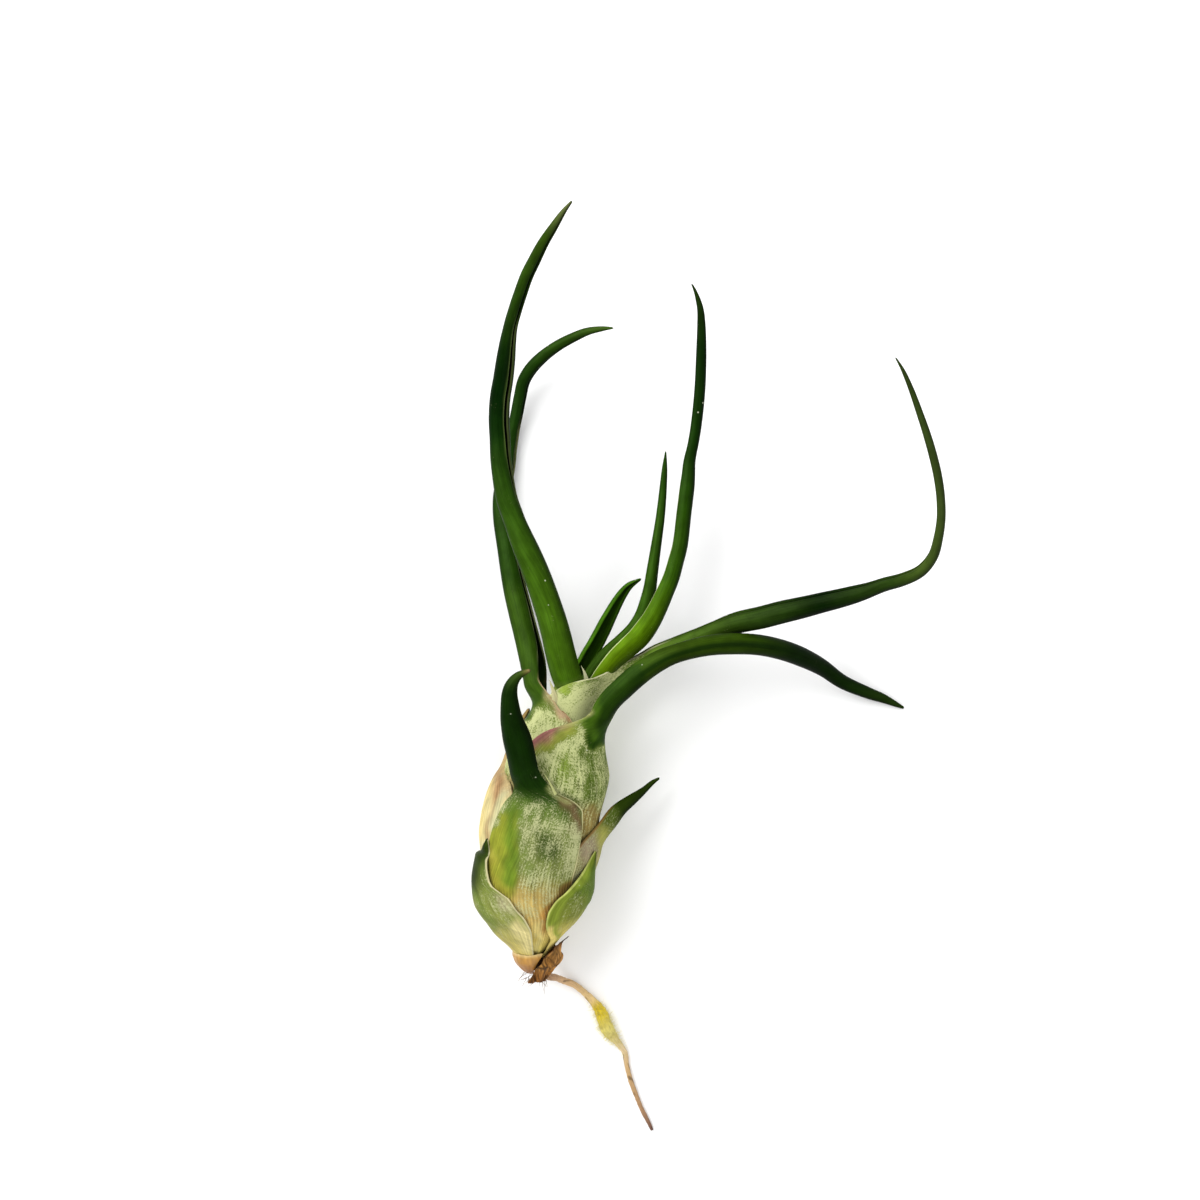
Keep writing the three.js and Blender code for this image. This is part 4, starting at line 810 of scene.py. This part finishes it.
def spread(count):
    """Places from 0 to 1, closer together near both ends."""
    t = np.linspace(0, 1, count)
    return 0.45 * t + 0.55 * (0.5 - 0.5 * np.cos(math.pi * t))


def arc(points):
    """Distances along each row of points."""
    gaps = np.linalg.norm(np.diff(points, axis=1), axis=2)
    return np.concatenate([np.zeros((len(points), 1)), np.cumsum(gaps, axis=1)], axis=1)


def leaf_mesh(leaf):
    """A leaf as one fine closed mesh, with its colour and scurf painted on."""
    surface = LeafSurface(leaf)
    loops, begun, travelled = [], 0, 0.0
    made = {key: [] for key in ("points", "grain", "skin", "tint", "scurf", "ribbed")}
    for kind, at, columns in surface.parts():
        place = survey(surface, kind, at, columns, travelled)
        travelled = place["along"][-1, 0] + PART_GAP
        colour, scurf, ribbed = leaf_paint(leaf, place)
        offset = LEAF_SHIFT * leaf["number"] + 0 * place["across"]
        grain = np.stack([place["grain"], place["along"], offset], -1)
        skin = np.stack([place["gone"] - place["width"] / 2, place["along"], offset], -1)
        for key, outside, inside in (
            ("points", *walls(leaf, place)),
            ("grain", grain, grain),
            ("skin", skin, skin),
            ("tint", opaque(colour), opaque(colour * INNER_SHADE)),
            ("scurf", scurf, INNER_SCURF * scurf),
            ("ribbed", ribbed, 0 * ribbed),
        ):
            made[key].append(both_faces(outside, inside))
        loops += loop_numbers(len(at), 2 * len(columns), begun)
        begun += 2 * len(columns) * len(at)
    made = {key: np.concatenate([*parts, parts[-1][-1:]]) for key, parts in made.items()}
    made["points"][-1] = leaf["spine"][-1]
    made["points"][:, 2] = np.maximum(made["points"][:, 2], 0.0)
    return mesh_object(leaf["name"] + "_live", faces=loft_faces(loops, apex=begun), **made)


def survey(surface, kind, at, columns, travelled):
    """Where each point of the leaf base or the blade lies: across it, along it and in space."""
    leaf = surface.leaf
    across = np.broadcast_to(columns, (len(at), len(columns)))
    if kind == "sheath":
        shape, axis_z = surface.sheath_points, AXIS_Z(at)[:, None]
        progress = (at - at[0]) / (leaf["blend"][2] - at[0])
        wall = SHEATH_THICK + (BLADE_THICK - SHEATH_THICK) * smooth(progress * 4 - 3)[:, None]
    else:
        shape, axis_z = surface.blade_points, -np.inf
        progress = 1 + (at - surface.reach) / (1 - surface.reach)
        wall = BLADE_THICK
    points = shape(at, across, 0 * across)
    gone = arc(points)
    middle = points[:, len(columns) // 2]
    along = travelled + np.append(0, np.cumsum(np.linalg.norm(np.diff(middle, axis=0), axis=1)))
    place = {
        "shape": shape, "at": at, "across": across, "wall": wall, "points": points, "axis_z": axis_z,
        "gone": gone, "width": gone[:, -1:], "edge": np.minimum(gone, gone[:, -1:] - gone),
        "along": along[:, None] + 0 * across, "progress": progress[:, None] + 0 * across,
        "outward": unit(np.cross(np.gradient(points, axis=1), np.gradient(points, axis=0)) + 1e-12),
    }
    wobble = waves((across - 0.5) * 9, place["along"] * 0.12, GRAIN_SEED + leaf["number"])
    place["grain"] = (across - 0.5) * leaf["span"] + 0.05 * wobble
    place["marks"] = [
        (mark, mark_weight(mark, place, 20 * leaf["number"] + seed))
        for seed, mark in enumerate(leaf.get("marks", ()))
    ]
    return place


def walls(leaf, place):
    """The outer points, with their relief and rounded edges, and the inner ones, thin at the edges."""
    shape, at, across, edge = (place[key] for key in ("shape", "at", "across", "edge"))
    rounding = EDGE_DROP * (1 - np.clip(edge / EDGE_ROUND, 0, 1)) ** 2
    taper = EDGE_TAPER * np.minimum(1, place["width"] / FULL_WIDTH)
    inner = EDGE_THICK + (place["wall"] - EDGE_THICK) * smooth(edge / taper)
    out = shape(at, across, rounding - leaf_relief(leaf, place))
    return out, shape(at, across, np.maximum(inner, rounding + EDGE_LEAST))


def leaf_relief(leaf, place):
    """How far the surface stands out: slow waves, and ribs along the leaf."""
    number, grain, along = leaf["number"], place["grain"], place["along"]
    slow = waves(grain * 0.55, along * 0.3, SWELL_SEED + number)
    swell = WAVE_HEIGHT * slow * level_at(place["progress"], {0: 0.3, 0.2: 1, 1: 0.5, 2: 0.15})
    rib = np.sin(2 * math.pi * grain / RIB_PITCH)
    uneven = 0.6 + 0.4 * waves(grain * 1.3, along * 0.2, RIB_SEED + number)
    return smooth(place["edge"] / RELIEF_MARGIN) * (swell + rib_height(leaf, place) * rib * uneven)


def rib_height(leaf, place):
    """Height of the ribs, which a smooth mark flattens."""
    height = level_at(place["progress"], leaf["ribs"])
    for mark, weight in place["marks"]:
        if mark.get("smooth"):
            height = height * (1 - SMOOTHING * weight)
    return height


def leaf_paint(leaf, place):
    """Surface colour, scurf and ribs at each place of a leaf, from its stops and its marks."""
    colour = colour_at(place["progress"], leaf["colours"])
    scurf = level_at(place["progress"], leaf["scurf"])
    for mark, weight in place["marks"]:
        if "colour" in mark:
            colour = mixed(colour, pigment(mark["colour"]), weight * mark.get("strength", 1))
        if "scurf" in mark:
            scurf = scurf + weight * (mark["scurf"] - scurf)
    return blade_shade(colour, place), scurf, rib_height(leaf, place) / RIB_FULL


def blade_shade(colour, place):
    """The colour with painted light: painted shade on the flanks of a rolled blade, and a painted highlight
    and sheen on the crest of its back, where it faces the key light.
    """
    facing = place["outward"] @ unit(PAINTED_LIGHT_WAY)
    painted_highlight = ease(facing, CREST_FROM, CREST_TO)
    rolled = ease(place["progress"], SHADE_FROM, SHADE_TO)
    back = ease(facing, BACK_FROM, BACK_TO)
    shade = FLANK_SHADE + (BACK_SHADE - FLANK_SHADE) * back + CREST_LIGHT * painted_highlight
    colour = colour * (1 + rolled * (shade - 1))[..., None]
    return mixed(colour, pigment(PAINTED_SHEEN_COLOUR), PAINTED_SHEEN_AMOUNT * rolled * painted_highlight)


def mark_weight(mark, place, seed):
    """How strongly a mark shows at each place, from 0 to 1."""
    past_first, past_last = (place["progress"] - end for end in mark.get("between", (0, 2)))
    within = smooth(past_first / MARK_FADE) * (1 - smooth(past_last / MARK_FADE))
    if "across" in mark:
        return within * (1 - smooth(np.abs(place["across"] - mark["across"]) / mark["width"]))
    if "side" in mark:
        gone = place["gone"]
        edge = {"left": gone, "right": place["width"] - gone, "both": place["edge"]}[mark["side"]]
        width = mark["width"] * (1 + MARGIN_WAVER * waves(place["along"] * 0.8, place["across"], seed))
        return within * (1 - smooth((edge / width - 0.55) / 0.9))
    x, y, z = np.moveaxis(place["points"], -1, 0)
    upward = smooth((z - place["axis_z"] + mark.get("depth", FLANK_FADE)) / FLANK_FADE)
    wobble = min(MARK_WOBBLE, mark.get("soft", mark.get("width", 1)) * 0.5)
    x = x + wobble * waves(x * 1.5, y * 1.5, seed)
    y = y + wobble * waves(x * 1.5, y * 1.5, seed + 500)
    if "line" in mark:
        far = plan_distance(x, y, mark["line"], closed=False)
        return upward * (1 - smooth(far / mark["width"]))
    return upward * (1 - smooth(0.5 + plan_distance(x, y, mark["area"], closed=True) / mark["soft"]))


def scale_mesh(scale, columns=120, rows=56):
    """A dead leaf base: a dry, torn scale on the outside of the bulb."""
    radius, left, right = track(scale["radius"]), track(scale["left"]), track(scale["right"])
    place = np.linspace(0, 1, columns)
    ends = np.interp(place, np.linspace(0, 1, len(scale["ends"])), scale["ends"])
    ends = ends + scale["tear"] * waves(26 * place, 0, seed=5)
    t = np.linspace(0, 1, rows)[:, None]
    s = scale["start"] + (ends - scale["start"]) * t
    angle = left(s) + (right(s) - left(s)) * place
    turn = np.radians(angle)
    folds = scale["crumple"] * np.sin(5 * turn + 1.3 * s)
    creases = waves(angle * 0.11, s * 1.1, seed=17) + 0.6 * waves(angle * 0.3, s * 2.2, seed=18)
    folds = folds + scale["folds"] * creases
    centre, right_way, up = (v.reshape(*s.shape, 3) for v in bulb_frame(s.ravel()))

    def points(depth):
        lean = scale["lean"] * smooth(t * 5 - 4)
        return ring(centre, up, right_way, turn, radius(s) + folds - depth - lean)

    wall = SCALE_THICK - SCALE_THINNING * smooth(t * 2.5 - 1.5)
    tint = opaque(scale_colour(scale, t, s, angle))
    skin = np.stack([turn * radius(s), s, 0 * s], -1)
    return mesh_object(scale["name"] + "_live", both_faces(points(0.0), points(wall)),
                       loft_faces(loop_numbers(rows, 2 * columns)), skin=both_faces(skin, skin),
                       tint=both_faces(tint, tint * SCALE_INNER))


def scale_colour(scale, t, s, angle):
    """The colour of a dry scale, broken by fibres and dark cracks."""
    colour = colour_at(t + 0 * s, scale["colours"])
    fibre = smooth(0.5 + 0.5 * waves(angle * 0.35, s * 0.5, seed=23))[..., None]
    colour = colour * (1 - 0.5 * scale["fibres"] * (1 - fibre))
    cracks = waves(angle * 0.16 + 2 * s, s * 1.4 - angle * 0.05, seed=29)[..., None]
    return colour * (1 - 0.85 * scale["fibres"] ** 2 * (1 - smooth(np.abs(cracks) / 0.3)))


ROOT_LINE, ROOT_GONE = spine_curve(ROOT["spine"])
ROOT_GIRTH = track(ROOT["girth"])


def root_mesh(sides=28, rows=420):
    """The root: a wiry tube with knots, rings and a swollen joint."""
    share = np.linspace(0, 1, rows)
    at = share * ROOT_GONE[-1]
    centre = rows_at(at, ROOT_GONE, ROOT_LINE)
    along = unit(np.gradient(centre, at, axis=0))
    out = carried(UP, along)
    turn = np.linspace(0, 2 * math.pi, sides, endpoint=False)[None, :]
    far = at[:, None]
    bumps = 1 + 0.1 * waves(np.cos(turn) * 1.6 + far * 0.9, np.sin(turn) * 1.6, seed=3)
    bumps = bumps + 0.05 * np.sin(far * 5.2 + np.sin(far * 1.7) * 2)
    radius = ROOT_GIRTH(share)[:, None] * bumps
    points = ring(centre[:, None], out[:, None], np.cross(along, out)[:, None], turn, radius).reshape(-1, 3)
    points[:, 2] = np.maximum(points[:, 2], 0.0)
    loops = loop_numbers(rows, sides)
    faces = [face for a, b in zip(loops, loops[1:]) for face in strip(a, b)]
    faces += [loops[0][::-1], loops[-1]]
    tint = np.repeat(opaque(colour_at(share, ROOT["colours"])), sides, axis=0)
    spots = waves(2.6 * np.cos(turn) + 2.2 * far, 2.6 * np.sin(turn), seed=7)
    off_joint = smooth(np.abs(share - JOINT_MIDDLE)[:, None] / JOINT_HALF - 1)
    dark = smooth((spots - 0.9) / 0.5) * off_joint
    tint[:, :3] *= 1 - 0.55 * dark.reshape(-1, 1)
    skin = np.stack([np.tile(turn[0], rows), np.repeat(at, sides), np.zeros(rows * sides)], -1)
    return mesh_object("root_live", points, faces, skin=skin, tint=tint)


def margin_tip_mesh(corner, rows=26, columns=7):
    """A thin pointed corner of a leaf margin, cupped over its length."""
    base, tip, width = np.array(corner["base"]), np.array(corner["tip"]), corner["width"]
    along = tip - base
    side = unit(np.cross(along, UP))
    up = unit(np.cross(side, along))
    t = np.linspace(0, 1, rows)[:, None]
    across = np.linspace(-1, 1, columns)[None, :]
    half = width * (1 - t) ** 0.8 * (1 - 0.35 * t) + 0.015
    arch = 0.14 * (1 - across ** 2) * (1 - t) + 0.25 * t * (1 - t)
    middle = base + along * t + side * 0.12 * np.sin(math.pi * t)
    top = middle[:, None] + side * (half * across)[..., None] + up * arch[..., None]
    wall = (0.16 * (1 - t) + 0.03)[..., None]
    points = both_faces(top, top - up * wall)
    place = across * width + 0 * t
    skin = np.stack([place, t * np.linalg.norm(along) + 0 * place, 0 * place], -1)
    skin = both_faces(skin, skin)
    return mesh_object(corner["name"], points, loft_faces(loop_numbers(rows, 2 * columns)),
                       grain=skin, skin=skin, **even_look(points, corner["colour"], 0.4))


def hair_points(start, way, length, girth, rng):
    """A fine tapered hair from a point, bending a little to a side: four rings and its tip.

    Lengths are in mm, and girth is its radius at the root.
    """
    way = unit(way + [rng.uniform(-0.5, 0.5) for _ in range(3)])
    bend = np.array([rng.uniform(-0.4, 0.4) for _ in range(3)])
    side = unit(np.cross(way, [0.3, 0.5, 0.8]))
    other = np.cross(way, side)
    reach = length * rng.uniform(0.45, 1.1)
    points = []
    for u in (0, 0.25, 0.5, 0.75):
        middle = start + way * reach * u + bend * reach * u * u
        for k in range(3):
            turn = 2 * math.pi * k / 3
            out = side * math.cos(turn) + other * math.sin(turn)
            points.append(middle + girth * (1 - 0.8 * u) * out)
    return points + [start + (way + bend) * reach]


def hairs_mesh(name, place, count, length, girth, colour, seed):
    """Many hairs: place draws where one starts and the way that it points."""
    rng, bends = random.Random(seed), random.Random(seed + 1)
    starts = [place(rng) for _ in range(count)]
    points, faces = [], []
    for start, way in starts:
        base = len(points)
        points += hair_points(start, way, length, girth, bends)
        rings = [[base + 3 * step + k for k in range(3)] for step in range(4)]
        faces.append(rings[0][::-1])
        for a, b in zip(rings, rings[1:]):
            faces += strip(a, b)
        faces += [(rings[3][k], rings[3][(k + 1) % 3], base + 12) for k in range(3)]
    points = np.array(points)
    points[:, 2] = np.maximum(points[:, 2], 0.02)
    return mesh_object(name, points, faces, skin=points, grain=points, **even_look(points, colour, 0.0))


def knot_hair(rng):
    """On the swollen joint of the root."""
    share = rng.gauss(ROOT_JOINT, 0.055)
    turn = rng.uniform(0, 2 * math.pi)
    out = np.array([math.cos(turn) * 0.8, math.cos(turn) * 0.6, abs(math.sin(turn))])
    return rows_at(share * ROOT_GONE[-1], ROOT_GONE, ROOT_LINE) + out * float(ROOT_GIRTH(share)) * 0.9, out


def husk_hair(rng):
    """At the torn root end of the husk."""
    start = np.array([rng.uniform(-2.2, 1.6), rng.uniform(-16.3, -15.2), rng.uniform(6.4, 9)])
    return start, np.array([rng.uniform(-1, 0.2), -0.8, rng.uniform(-0.3, 0.3)])


def shoulder_hair(rng):
    """On the shoulder of the short right leaf, where its blade begins."""
    u = rng.random()
    start = np.array([9.6 + 1.4 * u, 4.4 + 2.6 * u, 9.4 - 0.8 * u + rng.uniform(-1.4, 0.3)])
    return start, np.array([0.9, 0.5, 0.5])


# ---- Materials -----------------------------------------------------------------------------


class Nodes:
    """A short way to write a node tree."""

    def __init__(self, tree):
        self.tree = tree
        tree.nodes.clear()

    def add(self, kind, **settings):
        node = self.tree.nodes.new(kind)
        for key, value in settings.items():
            setattr(node, key, value)
        return node

    def link(self, value, socket):
        if isinstance(value, bpy.types.NodeSocket):
            self.tree.links.new(value, socket)
        else:
            socket.default_value = value

    def filled(self, kind, values, **settings):
        """A node with its first inputs, or the named ones, filled in."""
        node = self.add(kind, **settings)
        for key, value in values.items() if isinstance(values, dict) else enumerate(values):
            self.link(value, node.inputs[key])
        return node

    def math(self, operation, *values):
        return self.filled("ShaderNodeMath", values, operation=operation).outputs[0]

    def attribute(self, name, output):
        return self.add("ShaderNodeAttribute", attribute_name=name).outputs[output]

    def noise(self, vector, stretch, detail=3.0, roughness=0.55):
        """Noise in a vector that is first stretched along its axes."""
        place = self.filled("ShaderNodeVectorMath", (vector, stretch), operation="MULTIPLY").outputs[0]
        values = {"Vector": place, "Scale": 1.0, "Detail": detail, "Roughness": roughness}
        return self.filled("ShaderNodeTexNoise", values).outputs["Fac"]

    def ramp(self, value, low, high, to_low=0.0, to_high=1.0):
        values = (value, low, high, to_low, to_high)
        return self.filled("ShaderNodeMapRange", values, interpolation_type="SMOOTHSTEP").outputs[0]

    def mix(self, factor, a, b, blend="MIX"):
        values = {"Factor": factor, 6: a, 7: b}
        return self.filled("ShaderNodeMix", values, data_type="RGBA", blend_type=blend).outputs[2]

    def shaded(self, colour, shade):
        """A colour multiplied by a single value."""
        grey = self.filled("ShaderNodeCombineColor", (shade, shade, shade)).outputs[0]
        return self.mix(1.0, colour, grey, "MULTIPLY")

    def surface(self, colour, roughness, specular, normal=None):
        """The principled shader and the output."""
        values = {"Base Color": colour, "Roughness": roughness, "Specular IOR Level": specular}
        if normal:
            values["Normal"] = normal
        shader = self.filled("ShaderNodeBsdfPrincipled", values)
        self.filled("ShaderNodeOutputMaterial", {"Surface": shader.outputs[0]})

    def bumpy(self, colour, roughness, specular, height, bump):
        """A surface with a bump of the given height in metres."""
        bumped = self.filled("ShaderNodeBump", {"Distance": bump, "Height": height})
        self.surface(colour, roughness, specular, bumped.outputs[0])


def new_material(name):
    material = bpy.data.materials.new(name)
    material.use_nodes = True
    return material, Nodes(material.node_tree)


def rgba(colour):
    return (*pigment(colour), 1.0)


def leaf_material(name, scurf_colour, gloss=0.4, dots=1.0):
    """Leaf skin: painted colour with fine veins, grains of silvery scurf and scattered specks."""
    material, n = new_material(name)
    grain, skin = n.attribute("grain", "Vector"), n.attribute("skin", "Vector")
    streaks = n.noise(grain, (2.2, 0.22, 1.0), detail=2.0)
    veins = n.noise(grain, (3.4, 0.14, 1.0), detail=4.0)
    rib = rib_pattern(n, grain, streaks)
    thick = scurf_cover(n, skin, streaks, rib)
    coated = n.mix(thick, veined_colour(n, skin, veins, rib), rgba(scurf_colour))
    coated = n.mix(n.math("MULTIPLY", specks(n, skin), 0.8 * dots), coated, rgba(SPECK))
    rough = n.ramp(veins, 0.3, 0.7, gloss - 0.05, gloss + 0.07)
    rough = n.math("ADD", rough, n.math("MULTIPLY", thick, 0.4))
    height = n.math("ADD", thick, n.math("MULTIPLY", veins, 0.35))
    n.bumpy(coated, rough, specular=0.012, height=height, bump=0.00005)
    return material


def rib_pattern(n, grain, streaks):
    """The ribs across the grain, from -1 to 1, fading in streaks and where the mesh has none."""
    across = n.filled("ShaderNodeSeparateXYZ", (grain,)).outputs[0]
    rib = n.math("SINE", n.math("MULTIPLY", across, 2 * math.pi / RIB_PITCH))
    rib = n.math("MULTIPLY", rib, n.attribute("ribbed", "Fac"))
    return n.math("MULTIPLY", rib, n.ramp(streaks, 0.36, 0.6, 0.2, 1.0))


def veined_colour(n, skin, veins, rib):
    """The painted colour, broken by veins and blotches, with painted shade in the grooves between the ribs
    and a painted highlight on their crests.
    """
    blotches = n.noise(skin, (0.7, 0.35, 1.0))
    shade = n.math("MULTIPLY", n.ramp(veins, 0.3, 0.7, 0.82, 1.16), n.ramp(blotches, 0.25, 0.75, 0.8, 1.18))
    # painted shade and highlight: darker in the rib grooves, lighter on the rib crests
    shade = n.math("MULTIPLY", shade, n.ramp(rib, -1.0, 1.0, 0.76, 1.18))
    return n.shaded(n.attribute("tint", "Color"), shade)


def scurf_cover(n, skin, streaks, rib):
    """How thick the scurf lies: grains above a level that the painted scurf sets, and fine dust."""
    scurf = n.attribute("scurf", "Fac")
    grains = n.noise(skin, (4.8, 3.3, 1.0), detail=2.5, roughness=0.75)
    patches = n.noise(skin, (0.55, 0.4, 1.0), detail=2.0)
    level = n.math("MULTIPLY", grains, 0.8)
    for part, weight in ((patches, 0.4), (streaks, 0.3), (rib, 0.09)):
        level = n.math("ADD", level, n.math("MULTIPLY", part, weight))
    limit = n.math("SUBTRACT", 1.02, n.math("MULTIPLY", scurf, 0.46))
    mask = n.ramp(n.math("SUBTRACT", level, limit), -0.08, 0.11)
    thick = n.math("MULTIPLY", mask, n.ramp(scurf, 0.0, 0.8, 0.4, 0.8))
    dust = n.ramp(n.noise(skin, (8.5, 6.5, 1.0), detail=1.0), 0.58, 0.76, 0.0, 0.07)
    return n.math("MAXIMUM", thick, n.math("MULTIPLY", dust, n.ramp(scurf, 0.04, 0.3, 0.1, 1.0)))


def specks(n, skin):
    """Small round specks, 1 inside and 0 outside, in four of ten cells of a pattern."""
    cells = n.filled("ShaderNodeTexVoronoi", {"Vector": skin, "Scale": 0.5}, feature="F1")
    rare = n.math("GREATER_THAN", n.math("FRACT", n.math("MULTIPLY", cells.outputs["Color"], 7.3)), 0.6)
    return n.math("MULTIPLY", n.ramp(cells.outputs["Distance"], 0.03, 0.075, 1.0, 0.0), rare)


def wood_material(name, dark, light, scale, roughness):
    """A dry matt surface with streaks between two colours, in object space."""
    material, n = new_material(name)
    place = n.add("ShaderNodeTexCoord").outputs["Object"]
    fine = n.noise(place, (scale, scale, scale), detail=6.0, roughness=0.65)
    coarse = n.noise(place, (0.3 * scale, 0.3 * scale, 0.3 * scale))
    amount = n.math("ADD", n.math("MULTIPLY", fine, 0.6), n.math("MULTIPLY", coarse, 0.4))
    colour = n.mix(n.ramp(amount, 0.35, 0.65), rgba(dark), rgba(light))
    n.bumpy(colour, roughness, specular=0.2, height=amount, bump=0.00008)
    return material


def painted_material(name, stretch, shades, roughness, bump, specular=0.2):
    """A dry skin: its painted colour, broken by darker and lighter fibres along it."""
    material, n = new_material(name)
    fibres = n.noise(n.attribute("skin", "Vector"), stretch, detail=5.0, roughness=0.65)
    colour = n.shaded(n.attribute("tint", "Color"), n.ramp(fibres, 0.3, 0.7, *shades))
    n.bumpy(colour, roughness, specular, fibres, bump)
    return material


MATERIALS = {
    "pale_leaf": leaf_material("pale_leaf_skin", (200, 202, 150), dots=0.6),
    "straw_leaf": leaf_material("straw_leaf_skin", (232, 224, 182), gloss=0.5, dots=0.2),
    "dark_leaf": leaf_material("dark_leaf_skin", (216, 220, 158), gloss=0.38),
    "green_leaf": leaf_material("green_leaf_skin", (216, 220, 158), gloss=0.38),
    "bright_leaf": leaf_material("bright_leaf_skin", (226, 230, 180), gloss=0.36),
    "root": painted_material(
        "root_skin", stretch=(5.0, 0.9, 1.0), shades=(0.72, 1.16), roughness=0.65, bump=0.00008),
    "dry_scale": painted_material(
        "dry_scale_skin", stretch=(1.6, 0.5, 1.0), shades=(0.84, 1.1), roughness=0.42, bump=0.00003,
        specular=0.35),
    "husk": painted_material(
        "husk_skin", stretch=(4.5, 0.8, 1.0), shades=(0.42, 1.35), roughness=0.85, bump=0.0002),
    "woody": wood_material("stem_wood", dark=(84, 54, 28), light=(136, 96, 58), scale=900, roughness=0.8),
}

# ---- The plant -----------------------------------------------------------------------------

SLOTS = {row["node"]: row["material_slot"] for row in frame["record"]["subparts"]}


def add_piece(piece, slot, node=None):
    """Puts a piece on the plant with the finish of a slot, in the place of its CAD node if it has one."""
    piece.data.materials.append(MATERIALS[slot])
    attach(piece, "root")
    if node:
        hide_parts(node)


for number, leaf in enumerate(LEAVES, 1):
    leaf["number"] = number
    add_piece(leaf_mesh(leaf), SLOTS[leaf["name"]], leaf["name"])

for scale in OLD_SCALES:
    add_piece(scale_mesh(scale), SLOTS[scale["name"]], scale["name"])

add_piece(root_mesh(), "root", "root")

for corner in MARGIN_TIPS:
    add_piece(margin_tip_mesh(corner), corner["slot"])

for name, slot, hairs in (
    ("root_knot_fuzz", "root", dict(
        place=knot_hair, count=620, length=0.95, girth=0.022, colour=(244, 232, 140), seed=41)),
    ("husk_fibres", "husk", dict(
        place=husk_hair, count=34, length=2.4, girth=0.05, colour=(120, 78, 42), seed=43)),
    ("short_leaf_hairs", "pale_leaf", dict(
        place=shoulder_hair, count=70, length=0.8, girth=0.022, colour=(226, 228, 206), seed=45)),
):
    add_piece(hairs_mesh(name, **hairs), slot)

stem = frame["nodes"]["stem"]
for slot in stem.material_slots:
    slot.material = MATERIALS["woody"]

# ---- Table, light and camera ---------------------------------------------------------------

CAMERA = Vector((9, 39, 300)) * MM  # straight above the middle of the photograph's frame
CAMERA_LENS = 60.0
SENSOR = 36.0
LIT_PLACE = (0.01, 0.03, 0.0)
DAYLIGHT = 0.79
TABLE_SIZE = 6.0
TABLE_DROP = 0.00002  # a hair below the plant, so that their faces don't fight


def stage():
    """A plain pale table."""
    bpy.ops.mesh.primitive_plane_add(size=TABLE_SIZE, location=(0, 0, -TABLE_DROP))
    floor = bpy.context.object
    floor.name = "table_top"
    material, n = new_material("table_white")
    n.surface((0.9, 0.9, 0.9, 1), roughness=0.9, specular=0.0)
    floor.data.materials.append(material)


def softbox(name, place, size, watts):
    """A square soft light, turned to the plant."""
    light = bpy.data.lights.new(name, "AREA")
    light.shape = "RECTANGLE"
    light.size = light.size_y = size
    light.energy = watts
    lamp = bpy.data.objects.new(name, light)
    bpy.context.scene.collection.objects.link(lamp)
    lamp.location = Vector(place)
    lamp.rotation_euler = (Vector(LIT_PLACE) - Vector(place)).to_track_quat("-Z", "Y").to_euler()


def lights():
    """A key light from the upper left, two weak fills and even light from all round."""
    softbox("key_upper_left", place=(-0.42, 0.42, 0.5), size=0.6, watts=6.1)
    softbox("fill_right", place=(0.6, 0.1, 0.45), size=0.5, watts=1.2)
    softbox("fill_near", place=(0.0, -0.6, 0.45), size=0.5, watts=1.35)
    world = bpy.data.worlds.new("studio")
    world.use_nodes = True
    background = world.node_tree.nodes["Background"]
    background.inputs["Color"].default_value = (1, 1, 1, 1)
    background.inputs["Strength"].default_value = DAYLIGHT
    bpy.context.scene.world = world


def camera():
    """The camera, which looks straight down."""
    data = bpy.data.cameras.new("photo_camera")
    data.lens = CAMERA_LENS
    data.sensor_width = SENSOR
    data.sensor_fit = "HORIZONTAL"
    data.clip_start = 0.01
    eye = bpy.data.objects.new("photo_camera", data)
    eye.location = CAMERA
    bpy.context.scene.collection.objects.link(eye)
    bpy.context.scene.camera = eye


stage()
lights()
camera()
bpy.context.scene.view_settings.view_transform = "Standard"
